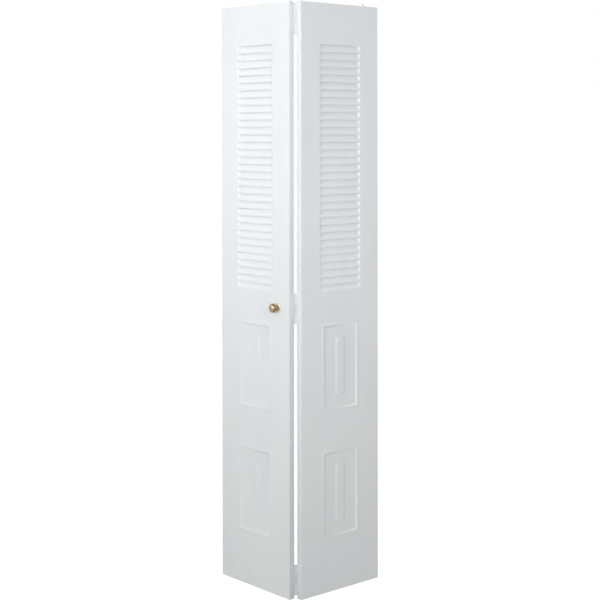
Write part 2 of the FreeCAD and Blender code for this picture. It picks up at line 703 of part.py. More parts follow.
def pieces():
    """Every piece of the door as its name, its shape and its side of the fold."""
    bush_hole = BUSH_RADIUS + HOLE_CLEARANCE
    for side, bottom_hole in (("pivot", BOTTOM_PIN_RADIUS + HOLE_CLEARANCE), ("lead", 0)):
        is_lead = side == "lead"
        yield side + "_skin", skin(is_lead), side
        yield side + "_top_channel", end_channel(LEAF_HEIGHT, -1, bush_hole), side
        yield side + "_bottom_channel", end_channel(0, 1, bottom_hole), side
        yield side + "_lock_channel", hat_channel(LOCK_RAIL_Z, is_lead), side
        yield side + "_mid_channel", hat_channel(MID_RAIL_Z, False), side
        for name, hinge_z in HINGES.items():
            yield name + "_hinge_" + side + "_plate", hinge_plate(hinge_z, int(is_lead)), side
    for name, hinge_z in HINGES.items():
        yield name + "_hinge_pin", hinge_pin(hinge_z), "pivot"
    yield "top_pivot_bush", end_bush(), "pivot"
    yield "top_pivot_bracket", top_pivot_bracket(), "pivot"
    yield "top_pivot_pin", top_pivot_pin(), "pivot"
    yield "top_pivot_clip", top_pivot_clip(), "pivot"
    yield "top_pivot_spring", top_pivot_spring(), "pivot"
    yield "bottom_pivot_bracket", bottom_pivot_bracket(), "pivot"
    yield "bottom_pivot_pin", bottom_pivot_pin(), "pivot"
    yield "bottom_adjusting_nut", bottom_adjusting_nut(), "pivot"
    yield "top_guide_bush", end_bush(), "lead"
    yield "top_guide_pin", top_guide_pin(), "lead"
    yield "knob_rose", knob_rose(), "lead"
    yield "knob_head", knob_head(), "lead"
    yield "knob_screw", knob_screw(), "lead"


os.makedirs("parts", exist_ok=True)
for piece_name, piece_shape, piece_side in pieces():
    place(piece_shape, piece_side).exportStep(os.path.join("parts", piece_name + ".step"))
    print(piece_name, len(piece_shape.Solids), "solids", round(piece_shape.Volume, 1), piece_shape.isValid())
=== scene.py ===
import json
import math

import bmesh
import bpy
from mathutils import Matrix, Vector


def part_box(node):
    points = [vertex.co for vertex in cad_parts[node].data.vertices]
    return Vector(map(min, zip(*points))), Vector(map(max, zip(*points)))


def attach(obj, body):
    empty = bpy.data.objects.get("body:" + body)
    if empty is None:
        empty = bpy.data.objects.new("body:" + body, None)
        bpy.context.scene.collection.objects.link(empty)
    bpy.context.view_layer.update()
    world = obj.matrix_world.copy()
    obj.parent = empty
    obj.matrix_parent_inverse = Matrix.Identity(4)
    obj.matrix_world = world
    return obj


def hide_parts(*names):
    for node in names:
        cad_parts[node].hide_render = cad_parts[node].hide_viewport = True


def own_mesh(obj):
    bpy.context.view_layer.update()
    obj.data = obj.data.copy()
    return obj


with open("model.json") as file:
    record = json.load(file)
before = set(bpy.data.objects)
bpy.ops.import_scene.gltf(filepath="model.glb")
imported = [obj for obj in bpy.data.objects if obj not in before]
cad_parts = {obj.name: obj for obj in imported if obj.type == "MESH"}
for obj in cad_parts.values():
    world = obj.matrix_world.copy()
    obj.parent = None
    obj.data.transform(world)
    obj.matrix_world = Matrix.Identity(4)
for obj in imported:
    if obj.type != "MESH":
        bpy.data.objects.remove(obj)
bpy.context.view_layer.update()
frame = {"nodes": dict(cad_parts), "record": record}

# ---- sizes, in metres

MM = 0.001
TINY = 0.01 * MM  # places nearer than this are the same

# The leaf and its sheet
LEAF_HEIGHT = 2007.0 * MM
LEAF_WIDTH = 350.8 * MM
LEAF_THICKNESS = 22.2 * MM
SHEET = 0.8 * MM
SHEET_BEND = 1.6 * MM
RETURN_LIP = 16.0 * MM
FACE_BAND = 6.0 * MM
BEND_SEGMENTS = 5

# The fold
FOLD_GAP = 3.0 * MM
PIN_SETBACK = 5.0 * MM
HALF_FOLD_DEG = 43.1

# The rails
TOP_RAIL = 141.0 * MM
LOCK_RAIL = 105.0 * MM
MID_RAIL = 120.0 * MM
BOTTOM_RAIL = 174.5 * MM

# The louvres
LOUVRE_COUNT = 33
LOUVRE_PITCH = 25.58 * MM
LOUVRE_WIDTH = 184.5 * MM
LOUVRE_DEPTH = 8.0 * MM
LOUVRE_FOOT = 19.5 * MM
LOUVRE_ROLL = 3.4 * MM
LOUVRE_ROLL_STEPS = 5
LOUVRE_END_RUN = 9.5 * MM
LOUVRE_END_STEPS = 6
LOUVRE_LIP = 1.0 * MM
FLAT_MARGIN = 3.0 * MM

# The pressed panels
PANEL_WIDTH = 178.0 * MM
PANEL_HEIGHT = 313.0 * MM
BEAD_START = 3.0 * MM
BEAD_RISE = 1.2 * MM
BEAD_RUN = 9.0 * MM
BEAD_STEPS = 5
COVE_RUN = 10.0 * MM
COVE_STEPS = 8
PANEL_SINK = 2.3 * MM
FIELD_MARGIN = 65.0 * MM
FIELD_SLOPE = 11.0 * MM
FIELD_EASE = 1.2 * MM
FIELD_STRETCH = 1.09

# The knob
KNOB_INSET = 64.0 * MM
KNOB_RADIUS = 15.4 * MM
KNOB_PROJECTION = 27.0 * MM
KNOB_CROWN_RADIUS = 0.4 * MM
KNOB_RIM_SHARE = 0.62  # of the way from rose to crown, where the head is widest
KNOB_WAIST_SHARE = 0.2
KNOB_NECK_RADIUS = 6.5 * MM
ROSE_RADIUS = 16.8 * MM
ROSE_HEIGHT = 3.2 * MM
KNOB_SIDES = 64
SWELL_STEPS = 10
DOME_STEPS = 12

# How finely round shapes are made
PIN_SIDES = 32
RIVET_SIDES = 20
WELD_SIDES = 16
WIRE_SIDES = 10
THREAD_SIDES = 4
COIL_STEPS = 24
HOLE_SIDES = 24
HOLE_EASE = 1.013  # so that the flats of the hole, not its corners, keep the radius
HOLE_WINDOW = 1.2  # half the square window that a hole is made in, in radii
CORNER_SEGMENTS = 4
SHARP_DEG = 40  # edges sharper than this are softened
SHADE_DEG = 35  # edges flatter than this are shaded smooth
TURNED_SHADE_DEG = 30
COIL_SHADE_DEG = 50
SHEET_SOFTNESS = 0.15 * MM
PLATE_SOFTNESS = 0.2 * MM
NUT_SOFTNESS = 0.5 * MM

# The cross channels
CHANNEL_SHEET = 1.2 * MM
CHANNEL_BEND = 1.8 * MM
CHANNEL_CORNER = 2.0 * MM
CHANNEL_START_U = 1.9 * MM
END_CHANNEL_LEG = 25.0 * MM
HAT_CROWN = 40.0 * MM
HAT_FLARE = 5.0 * MM
HAT_FOOT = 14.0 * MM
WELD_RADIUS = 2.8 * MM
WELD_HEIGHT = 0.25 * MM
WELDS_PER_FOOT = 6

# The hinges
HINGE_LENGTH = 100.0 * MM
HINGE_TOP_INSET = 8.0 * MM
HINGE_BOTTOM_INSET = 11.5 * MM
HINGE_PLATE = 1.2 * MM
HINGE_FRONT_MARGIN = 2.5 * MM
HINGE_CORNER = 4.0 * MM
KNUCKLE_COUNT = 3
KNUCKLE_RADIUS = 4.0 * MM
KNUCKLE_BORE = 2.3 * MM
KNUCKLE_CHAMFER = 0.4 * MM
KNUCKLE_GAP = 0.3 * MM
SWING_CLEARANCE = 0.4 * MM
HINGE_PIN_RADIUS = 2.25 * MM
HINGE_PIN_HEAD = 1.5 * MM
HINGE_PIN_HEAD_RADIUS = 3.4 * MM
RIVET_RADIUS = 3.2 * MM
RIVET_RISE = 0.2 * MM
RIVET_PLACES = ((-0.36, 1), (0, -1), (0.36, 1))  # share of the length, side of the middle

# The pins at the leaf ends
END_PIN_INSET = 61.6 * MM
TOP_PIN_RADIUS = 4.76 * MM
TOP_PIN_RISE = 8.0 * MM
TOP_PIN_TRAVEL = 8.0 * MM
TOP_PIN_TIP_RADIUS = 4.5 * MM
TOP_PIN_TIP_LIFT = 0.4 * MM
TOP_PIN_TAIL_RADIUS = 3.0 * MM
PIN_CENTRE_RADIUS = 0.3 * MM
GUIDE_TRAVEL = 12.0 * MM
GUIDE_FOOT_RADIUS = 6.5 * MM
GUIDE_FOOT_HEIGHT = 4.0 * MM
RUNNING_CLEARANCE = 0.05 * MM
HOLE_CLEARANCE = 0.2 * MM
BUSH_BORE = 4.81 * MM
BUSH_RADIUS = 6.21 * MM
BUSH_FLANGE_RADIUS = 8.2 * MM
BUSH_FLANGE = 1.5 * MM
BUSH_LENGTH = 24.0 * MM
BRACKET_SHEET = 1.5 * MM
BRACKET_WIDTH = 17.0 * MM
BRACKET_REACH = 13.0 * MM
BRACKET_BEND = 2.4 * MM
BRACKET_CORNER = 4.0 * MM
TOP_BRACKET_HEIGHT = 62.0 * MM
CLIP_SHEET = 1.0 * MM
CLIP_WIDTH = 11.0 * MM
CLIP_CORNER = 1.5 * MM
TAIL_BELOW_CLIP = 3.0 * MM
SPRING_WIRE_RADIUS = 0.55 * MM
SPRING_TURNS = 5

# The adjustable pin at the bottom
BOTTOM_PIN_RADIUS = 3.97 * MM
BOTTOM_PIN_RECESS = 0.4 * MM
BOTTOM_PIN_TRAVEL = 15.5 * MM
THREAD_PITCH = 1.6 * MM
THREAD_START = 5.0 * MM
THREAD_CLEAR_TURNS = 2  # left out at the thread's end
NUT_SIDES = 6
NUT_CORNER_RADIUS = 8.8 * MM
NUT_HEIGHT = 9.0 * MM
NUT_GAP = 0.1 * MM

# The knob's screw
SCREW_RADIUS = 2.0 * MM
SCREW_HEAD_RADIUS = 4.2 * MM
SCREW_HEAD_HEIGHT = 2.6 * MM
SCREW_GRIP = 12.0 * MM
SCREW_END_GAP = 0.4 * MM
SCREW_POINT = 0.5 * MM
SCREW_SLOT = 1.1 * MM
SCREW_SLOT_DEPTH = 0.9 * MM

# Worked out from the sizes above
LOWER_PANEL_Z = BOTTOM_RAIL + PANEL_HEIGHT / 2
UPPER_PANEL_Z = LOWER_PANEL_Z + PANEL_HEIGHT + MID_RAIL
PANELS_Z = (LOWER_PANEL_Z, UPPER_PANEL_Z)
PANEL_HALF_WIDTH = PANEL_WIDTH / 2 + FLAT_MARGIN
PANEL_HALF_HEIGHT = PANEL_HEIGHT / 2 + FLAT_MARGIN
MID_RAIL_Z = BOTTOM_RAIL + PANEL_HEIGHT + MID_RAIL / 2
LOCK_RAIL_Z = UPPER_PANEL_Z + PANEL_HEIGHT / 2 + LOCK_RAIL / 2
FIRST_LOUVRE_Z = LEAF_HEIGHT - TOP_RAIL
ROLL_START = LOUVRE_FOOT - LOUVRE_ROLL
FIELD_HALF_WIDTH = LOUVRE_WIDTH / 2 + FLAT_MARGIN
FIELD_TOP_Z = FIRST_LOUVRE_Z + LOUVRE_PITCH - LOUVRE_FOOT - LOUVRE_ROLL
FIELD_FOOT_Z = FIRST_LOUVRE_Z - LOUVRE_COUNT * LOUVRE_PITCH
FRONT_Y = -LEAF_THICKNESS - PIN_SETBACK
LEAF_X = FOLD_GAP / 2
MIDDLE_X = LEAF_X + LEAF_WIDTH / 2
MID_T = LEAF_THICKNESS / 2
END_PIN_U = LEAF_WIDTH - END_PIN_INSET
CHANNEL_RUN = LEAF_WIDTH - 2 * CHANNEL_START_U
CHANNEL_FRONT_T = SHEET + CHANNEL_SHEET / 2
CHANNEL_BACK_T = LEAF_THICKNESS - SHEET - CHANNEL_SHEET / 2
KNOB_LENGTH = KNOB_PROJECTION - ROSE_HEIGHT
KNOB_RIM = ROSE_HEIGHT + KNOB_LENGTH * KNOB_RIM_SHARE
HINGES = {
    "top": LEAF_HEIGHT - HINGE_TOP_INSET - HINGE_LENGTH / 2,
    "middle": LOCK_RAIL_Z,
    "bottom": HINGE_BOTTOM_INSET + HINGE_LENGTH / 2,
}
TOP_BRACKET_Z = LEAF_HEIGHT - CHANNEL_SHEET - TOP_BRACKET_HEIGHT
BUSH_FOOT_Z = LEAF_HEIGHT - BUSH_LENGTH
PIN_SHOULDER_Z = BUSH_FOOT_Z - TOP_PIN_TRAVEL / 2
BOTTOM_BRACKET_HEIGHT = NUT_HEIGHT + 2 * NUT_GAP + 2 * BRACKET_SHEET
BOTTOM_PIN_TOP = CHANNEL_SHEET + BOTTOM_BRACKET_HEIGHT + BOTTOM_PIN_TRAVEL + BOTTOM_PIN_RADIUS
UPWARD = Vector((0, 0, 1))
FORWARD = Vector((0, -1, 0))
BACKWARD = Vector((0, 1, 0))
INWARD = Vector((-1, 0, 0))

# What the CAD record says of each node
RECORD = frame["record"]
BODY_OF = {node: body for body, nodes in RECORD["behaviour"]["bodies"].items() for node in nodes}
SLOT_OF = {part["node"]: part["material_slot"] for part in RECORD["subparts"]}

# The hinge pins' axis, read from the frame
PIN_LOW, PIN_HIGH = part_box("top_hinge_pin")
PIN_Y = (PIN_LOW.y + PIN_HIGH.y) / 2


# ---- modelling by hand

def leaf_point(u, t, z):
    """A point of the unfolded pivot leaf, from its fold edge, its front face and the floor."""
    return Vector((LEAF_X + u, FRONT_Y + t, z))


def end_pin_point(z):
    """The point at a height on the axis of the pins at the leaf's ends."""
    return leaf_point(END_PIN_U, MID_T, z)


def take_up(*pieces):
    """Select some pieces alone, the first of them as the one in hand."""
    bpy.ops.object.select_all(action="DESELECT")
    for piece in pieces:
        piece.select_set(True)
    bpy.context.view_layer.objects.active = pieces[0]


def select_whole():
    """Select the whole mesh in hand."""
    bpy.ops.mesh.select_all(action="SELECT")


def start_edit():
    """Edit the piece in hand, with all of its mesh selected."""
    bpy.ops.object.mode_set(mode="EDIT")
    select_whole()


def enter_edit(name):
    """Name the primitive just added, put its place in its mesh and start to edit it."""
    piece = bpy.context.object
    piece.name = name
    bpy.ops.object.transform_apply(location=True, rotation=True, scale=True)
    start_edit()
    return piece


def leave_edit():
    """Back to object mode, with the piece in hand as the only one selected."""
    bpy.ops.object.mode_set(mode="OBJECT")
    take_up(bpy.context.object)
    return bpy.context.object


def start_plane(name, low, high):
    """A flat plane between two corners that share one coordinate, in edit mode."""
    low, high = Vector(low), Vector(high)
    size = high - low
    flat = min(range(3), key=lambda way: abs(size[way]))
    turn = [(0, math.pi / 2, 0), (math.pi / 2, 0, 0), (0, 0, 0)][flat]
    spans = [(size.z, size.y, 1), (size.x, size.z, 1), (size.x, size.y, 1)][flat]
    bpy.ops.mesh.primitive_plane_add(size=1, location=(low + high) / 2, rotation=turn)
    bpy.context.object.scale = spans
    return enter_edit(name)


def start_ring(name, sides, radius, centre, axis, turn=0):
    """A ring of edges round an axis, in edit mode."""
    tilt = axis.to_track_quat("Z", "Y") @ Matrix.Rotation(turn, 3, "Z").to_quaternion()
    bpy.ops.mesh.primitive_circle_add(vertices=sides, radius=radius, fill_type="NOTHING",
                                      location=centre, rotation=tilt.to_euler())
    return enter_edit(name)


def pick_items(kind, test):
    """Select the vertices, edges or faces that pass the test."""
    bpy.ops.mesh.select_mode(type=kind)
    bpy.ops.mesh.select_all(action="DESELECT")
    data = bpy.context.edit_object.data
    mesh = bmesh.from_edit_mesh(data)
    for item in {"VERT": mesh.verts, "EDGE": mesh.edges, "FACE": mesh.faces}[kind]:
        if test(item):
            item.select_set(True)
    mesh.select_flush_mode()
    bmesh.update_edit_mesh(data)


def pick(kind, test):
    """Select the vertices, edges or faces whose corners all pass the test."""
    pick_items(kind, lambda item: all(test(end.co) for end in ([item] if kind == "VERT" else item.verts)))


def near(value, target):
    """True where a coordinate is at a place."""
    return abs(value - target) < TINY


def within(value, span):
    """True where a coordinate is inside a span or at its ends."""
    return span[0] - TINY < value < span[1] + TINY


def cut_at(way, place, test=lambda co: True):
    """Cut the faces that pass the test across x, y or z (0, 1 or 2) at a place."""
    normal = Vector((way == 0, way == 1, way == 2))
    pick("FACE", test)
    bpy.ops.mesh.bisect(plane_co=normal * place, plane_no=normal)


def draw_out(offset):
    """Extrude what is selected."""
    bpy.ops.mesh.extrude_region_move(TRANSFORM_OT_translate={"value": offset})


def draw_edges(offset, test):
    """Extrude the edges that pass the test."""
    pick("EDGE", test)
    draw_out(offset)


def face_outwards():
    """Turn all faces of the mesh in hand outwards."""
    select_whole()
    bpy.ops.mesh.normals_make_consistent(inside=False)


def add_object(name, data):
    """A new object in the scene."""
    thing = bpy.data.objects.new(name, data)
    bpy.context.scene.collection.objects.link(thing)
    return thing


def copy_of(piece, name, offset=(0, 0, 0)):
    """A copy with its own mesh, moved by an offset."""
    twin = add_object(name, piece.data.copy())
    twin.data.transform(Matrix.Translation(offset))
    return twin


def join(pieces, name):
    """One mesh from several, in edit mode, with the corners that coincide made one."""
    take_up(*pieces)
    bpy.ops.object.join()
    pieces[0].name = name
    start_edit()
    bpy.ops.mesh.remove_doubles(threshold=TINY)
    return pieces[0]


def apply_modifier(piece, kind, **settings):
    """Add a modifier with its settings and apply it."""
    bpy.context.view_layer.objects.active = piece
    modifier = piece.modifiers.new(kind.title(), kind)
    for key, value in settings.items():
        setattr(modifier, key, value)
    bpy.ops.object.modifier_apply(modifier=modifier.name)


def smooth(piece, degrees):
    """Smooth shading up to an angle between faces."""
    take_up(piece)
    bpy.ops.object.shade_smooth_by_angle(angle=math.radians(degrees))


def swing(piece, side):
    """Swing a finished piece back with its leaf, on the pivot or the lead side of the fold."""
    place = Matrix.Rotation(math.radians(HALF_FOLD_DEG), 4, "Z")
    if side == "lead":
        place = Matrix.Scale(-1, 4, (1, 0, 0)) @ place
        piece.data.flip_normals()
    piece.data.transform(Matrix.Translation((0, PIN_Y, 0)) @ place)


def paint(piece, slot):
    """Give a piece the finish of a slot."""
    piece.data.materials.clear()
    piece.data.materials.append(FINISHES[slot])


def fit(piece, side, *nodes):
    """Place a piece on its leaf, with the body and the finish of the CAD nodes that it stands for."""
    swing(piece, side)
    slot = SLOT_OF[nodes[0]]
    paint(piece, slot)
    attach(piece, BODY_OF[nodes[0]])
    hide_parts(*nodes)


def thicken(piece, sheet, offset, softness):
    """Give a sheet its thickness, on its middle (0) or behind its face (-1), and soft edges."""
    apply_modifier(piece, "SOLIDIFY", thickness=sheet, offset=offset, use_even_offset=offset == 0)
    soften(piece, softness)


def soften(piece, width):
    """Round the sharp edges of a finished piece."""
    apply_modifier(piece, "BEVEL", width=width, segments=2, limit_method="ANGLE",
                   angle_limit=math.radians(SHARP_DEG))
    smooth(piece, SHADE_DEG)


def ramped(value, start, end):
    """How far a value has come from start to end, held between none and whole."""
    return min(max((value - start) / (end - start), 0), 1)


def mark(piece, name, mark_at):
    """Mark the points of a mesh, each by its place."""
    marks = piece.data.attributes.new(name, "FLOAT", "POINT")
    for vertex, entry in zip(piece.data.vertices, marks.data):
        entry.value = mark_at(vertex.co)


def shares(profile, radius, height, foot=0):
    """Radius and height points from their shares of a radius and of a height above a foot."""
    return [(radius * across, foot + height * along) for across, along in profile]


def turned(name, foot, axis, profile, sides, shade_deg=0):
    """A shape turned round an axis through a foot, from radius and height points."""
    start_ring(name, sides, profile[0][0], foot + axis * profile[0][1], axis)
    for here, ahead in zip(profile, profile[1:]):
        draw_out(axis * (ahead[1] - here[1]))
        scale = ahead[0] / here[0]
        spread = [1 if abs(part) > 0.5 else scale for part in axis]
        bpy.ops.transform.resize(value=spread, center_override=foot)
    select_whole()
    bpy.ops.mesh.remove_doubles(threshold=TINY)
    bpy.ops.mesh.fill_holes(sides=0)
    face_outwards()
    piece = leave_edit()
    if shade_deg:
        smooth(piece, shade_deg)
    return piece


def round_corners(corners, radius, segments=CORNER_SEGMENTS):
    """Round the corners of the flat sheet in hand."""
    pick("VERT", lambda co: any((co - corner).length < TINY for corner in corners))
    bpy.ops.mesh.bevel(offset=radius, segments=segments, affect="VERTICES")


def round_hole(centre, radius):
    """Cut a round hole in the level sheet in hand: a square window, inset, rounded and opened."""
    half = radius * HOLE_WINDOW

    def in_sheet(co):
        return near(co.z, centre.z)

    def reach(co):
        return max(abs(co.x - centre.x), abs(co.y - centre.y))

    def on_side(co):
        return in_sheet(co) and near(reach(co), half)

    for way in (0, 1):
        for side in (-half, half):
            cut_at(way, centre[way] + side, in_sheet)
    pick("FACE", lambda co: in_sheet(co) and reach(co) < half + TINY)
    bpy.ops.mesh.delete(type="FACE")
    pick("EDGE", on_side)
    bpy.ops.mesh.subdivide(number_cuts=HOLE_SIDES // 4 - 1)
    pick("EDGE", on_side)
    bpy.ops.mesh.edge_face_add()
    bpy.ops.mesh.inset(thickness=half - radius)
    bpy.ops.transform.tosphere(value=1, center_override=centre)
    sheet = bmesh.from_edit_mesh(bpy.context.object.data)
    corner = next(vert.co for vert in sheet.verts if vert.select)
    size = radius * HOLE_EASE / (corner - centre).length
    bpy.ops.transform.resize(value=(size, size, size), center_override=centre)
    bpy.ops.mesh.delete(type="FACE")
    face_outwards()


def folded_strip(name, path, run, sheet, bend, corner, holes=()):
    """A strip folded through the points of path, its middle surface, and drawn out along run.

    Its free corners are rounded. A hole is its centre and its radius, in a level part.
    """
    first = path[1] - path[0]
    direction = run.normalized()
    turn = Matrix((direction, first.normalized(), run.cross(first).normalized())).transposed()
    bpy.ops.mesh.primitive_plane_add(size=1, location=(path[0] + path[1] + run) / 2, rotation=turn.to_euler())
    bpy.context.object.scale = (run.length, first.length, 1)
    piece = enter_edit(name)
    for here, ahead in zip(path[1:], path[2:]):
        draw_edges(ahead - here, lambda co: (co - here).cross(direction).length < TINY)
    round_corners([path[0], path[0] + run, path[-1], path[-1] + run], corner)
    for centre, radius in holes:
        round_hole(centre, radius)
    pick("EDGE", lambda co: any((co - point).cross(direction).length < TINY for point in path[1:-1]))
    bpy.ops.mesh.bevel(offset=bend, segments=CORNER_SEGMENTS, affect="EDGES")
    leave_edit()
    thicken(piece, sheet, 0, SHEET_SOFTNESS)
    return piece


def coil(name, foot, wire, sides, radius, pitch, turns):
    """Wire wound upwards round an axis through a foot, from a ring with some sides."""
    piece = start_ring(name, sides, wire, Vector((radius, 0, 0)), BACKWARD)
    leave_edit()
    apply_modifier(piece, "SCREW", angle=2 * math.pi, screw_offset=pitch, iterations=turns,
                   steps=COIL_STEPS, render_steps=COIL_STEPS, axis="Z")
    piece.data.transform(Matrix.Translation(foot))
    start_edit()
    bpy.ops.mesh.fill_holes(sides=0)
    face_outwards()
    leave_edit()
    smooth(piece, COIL_SHADE_DEG)
    return piece


# ---- the pressed skin

def louvre_depth(drop):
    """How deep a louvre is, a given drop below its slit."""
    slope = LOUVRE_DEPTH / LOUVRE_FOOT
    if drop <= ROLL_START:
        return LOUVRE_DEPTH - slope * drop
    share = min((drop - ROLL_START) / (2 * LOUVRE_ROLL), 1)
    return slope * LOUVRE_ROLL * (1 - share) ** 2


def louvre(name):
    """One louvre with its band of flat face below and its flat margins, its slit at height 0."""
    half = LOUVRE_WIDTH / 2 - LOUVRE_END_RUN
    start_plane(name, (MIDDLE_X - half, FRONT_Y, -LOUVRE_PITCH), (MIDDLE_X + half, FRONT_Y, 0))
    roll_stride = 2 * LOUVRE_ROLL / LOUVRE_ROLL_STEPS
    drops = [ROLL_START / 3, ROLL_START * 2 / 3]
    drops += [ROLL_START + roll_stride * step for step in range(LOUVRE_ROLL_STEPS + 1)]
    for drop in drops:
        cut_at(2, -drop)
    for drop in [0] + drops:
        pick("VERT", lambda co: near(co.z, -drop))
        bpy.ops.transform.translate(value=(0, louvre_depth(drop), 0))
    for way in (-1, 1):
        end_stride = way * LOUVRE_END_RUN / LOUVRE_END_STEPS
        reach = MIDDLE_X + way * half
        share = 1.0
        for step in range(1, LOUVRE_END_STEPS + 1):
            next_share = (1 + math.cos(math.pi * step / LOUVRE_END_STEPS)) / 2
            draw_edges((end_stride, 0, 0), lambda co: near(co.x, reach))
            bpy.ops.transform.resize(value=(1, next_share / share, 1), center_override=(0, FRONT_Y, 0))
            reach += end_stride
            share = next_share
        draw_edges((way * FLAT_MARGIN, 0, 0), lambda co: near(co.x, reach))
    draw_edges((0, 0, LOUVRE_LIP), lambda co: near(co.z, 0) and abs(co.x - MIDDLE_X) < half + TINY)
    return leave_edit()


def louvre_field():
    """The whole column of louvres, with the strip of face above the first slit."""
    pattern = louvre("louvre")
    heights = [FIRST_LOUVRE_Z - step * LOUVRE_PITCH for step in range(-1, LOUVRE_COUNT)]
    rows = [copy_of(pattern, "louvre_row", (0, 0, z)) for z in heights]
    bpy.data.objects.remove(pattern)
    take_up(rows[0])
    start_edit()
    pick("FACE", lambda co: co.z > FIELD_TOP_Z - TINY)
    bpy.ops.mesh.delete(type="FACE")
    leave_edit()
    join(rows, "louvre_field")
    return leave_edit()


def panel_depth(inset):
    """How deep a panel's moulding is, a given distance inside its edge."""
    crest = BEAD_START + BEAD_RUN
    if inset <= crest:
        return -BEAD_RISE * math.sin(math.pi / 2 * (inset - BEAD_START) / BEAD_RUN)
    share = (inset - crest) / COVE_RUN
    return -BEAD_RISE + (PANEL_SINK + BEAD_RISE) * (1 - math.cos(math.pi * share)) / 2


def panel(z):
    """One pressed panel: bead, cove, sunk ground and a raised middle, in mitred steps."""
    start_plane("panel", (MIDDLE_X - PANEL_HALF_WIDTH, FRONT_Y, z - PANEL_HALF_HEIGHT),
                (MIDDLE_X + PANEL_HALF_WIDTH, FRONT_Y, z + PANEL_HALF_HEIGHT))
    insets = [BEAD_START + BEAD_RUN * step / BEAD_STEPS for step in range(BEAD_STEPS + 1)]
    for step in range(1, COVE_STEPS + 1):
        insets.append(BEAD_START + BEAD_RUN + COVE_RUN * step / COVE_STEPS)
    stops = [(inset, panel_depth(inset)) for inset in insets]
    rise = PANEL_SINK * FIELD_EASE / FIELD_SLOPE
    foot_inset = FIELD_MARGIN - FIELD_EASE
    top_inset = FIELD_MARGIN + FIELD_SLOPE
    stops += [
        (foot_inset, PANEL_SINK),
        (FIELD_MARGIN, PANEL_SINK - rise / 4),
        (FIELD_MARGIN + FIELD_EASE, PANEL_SINK - rise),
        (top_inset - FIELD_EASE, rise),
        (top_inset, rise / 4),
        (top_inset + FIELD_EASE, 0),
    ]
    inset = -FLAT_MARGIN
    depth = 0
    for next_inset, next_depth in stops:
        bpy.ops.mesh.inset(thickness=next_inset - inset, depth=depth - next_depth, use_even_offset=True)
        inset = next_inset
        depth = next_depth
        if inset == foot_inset:
            bpy.ops.transform.resize(value=(1, 1, FIELD_STRETCH), center_override=(MIDDLE_X, FRONT_Y, z))
    return leave_edit()


def tray_side(name, edge_x, way):
    """One folded side of the tray: a band of face, the edge and the lip that returns behind it."""
    inner_x = edge_x + way * FACE_BAND
    back_y = FRONT_Y + LEAF_THICKNESS
    start_plane(name, (min(edge_x, inner_x), FRONT_Y, 0), (max(edge_x, inner_x), FRONT_Y, LEAF_HEIGHT))
    corners = [(edge_x, FRONT_Y), (edge_x, back_y), (edge_x + way * RETURN_LIP, back_y)]
    for (x, y), (next_x, next_y) in zip(corners, corners[1:]):
        draw_edges((next_x - x, next_y - y, 0), lambda co: near(co.x, x) and near(co.y, y))
    pick("EDGE", lambda co: any(near(co.x, x) and near(co.y, y) for x, y in corners[:2]))
    bpy.ops.mesh.bevel(offset=SHEET_BEND, segments=BEND_SEGMENTS, affect="EDGES")
    return leave_edit()


def on_outline(co, window):
    """True for a point on the outline of a window, given by its spans in x and z."""
    places = list(zip((co.x, co.z), window))
    inside = all(within(value, span) for value, span in places)
    return inside and any(near(value, end) for value, span in places for end in span)


def is_open_outline(edge, windows):
    """True for a free edge on the outline of one of the windows in the face."""
    ends = [vert.co for vert in edge.verts]
    free = edge.is_boundary or edge.is_wire
    in_face = all(near(end.y, FRONT_Y) for end in ends)
    return free and in_face and any(on_outline((ends[0] + ends[1]) / 2, window) for window in windows)


def face_window(half_width, low_z, high_z):
    """The spans in x and z of a window in the middle of the face."""
    return (MIDDLE_X - half_width, MIDDLE_X + half_width), (low_z, high_z)


def close_face(windows):
    """Draw the top and bottom edges of the face and fill it round its windows."""
    band_x = (LEAF_X + FACE_BAND, LEAF_X + LEAF_WIDTH - FACE_BAND)
    for z in (0, LEAF_HEIGHT):
        pick("VERT", lambda co: near(co.z, z) and near(co.y, FRONT_Y) and any(near(co.x, x) for x in band_x))
        bpy.ops.mesh.edge_face_add()
    outlines = windows + [(band_x, (0, LEAF_HEIGHT))]
    pick_items("EDGE", lambda edge: is_open_outline(edge, outlines))
    bpy.ops.mesh.fill(use_beauty=True)


def mark_edge(piece, side):
    """Mark where painted shade darkens the fold edge, more on the lead leaf than on the pivot leaf."""
    mark(piece, "painted_edge_shade", lambda co: PAINTED_EDGE_SHADE[side] * ramped(co.x, LEAF_X + SHEET_BEND, LEAF_X))


def pressed_skin():
    """The whole skin of a leaf, in its unfolded place, as a sheet with its thickness."""
    parts = [louvre_field()]
    windows = [face_window(FIELD_HALF_WIDTH, FIELD_FOOT_Z, FIELD_TOP_Z)]
    for z in PANELS_Z:
        parts.append(panel(z))
        windows.append(face_window(PANEL_HALF_WIDTH, z - PANEL_HALF_HEIGHT, z + PANEL_HALF_HEIGHT))
    parts.append(tray_side("fold_side", LEAF_X, 1))
    parts.append(tray_side("outer_side", LEAF_X + LEAF_WIDTH, -1))
    skin = join(parts, "skin")
    close_face(windows)
    face_outwards()
    leave_edit()
    front = [face.normal.y * face.area for face in skin.data.polygons if near(face.center.y, FRONT_Y)]
    if sum(front) > 0:
        skin.data.flip_normals()
    apply_modifier(skin, "SOLIDIFY", thickness=SHEET, offset=-1, use_even_offset=True)
    smooth(skin, SHADE_DEG)
    apply_modifier(skin, "WEIGHTED_NORMAL", keep_sharp=True, weight=90)
    return skin


# ---- the brass knob

# How dark the brass is painted, from none to whole: painted shade over the head's front, growing to the rim,
# a painted highlight behind the rim, patina and painted shade in the neck
FRONT_PAINTED_SHADE = 0.5
RIM_PAINTED_SHADE = 1.0
NECK_PATINA_AND_SHADE = 0.6
LEAST_PAINTED_SHADE = 0.2
RIM_SHADE_START = 0.7
RIM_SHADE_END = 0.95


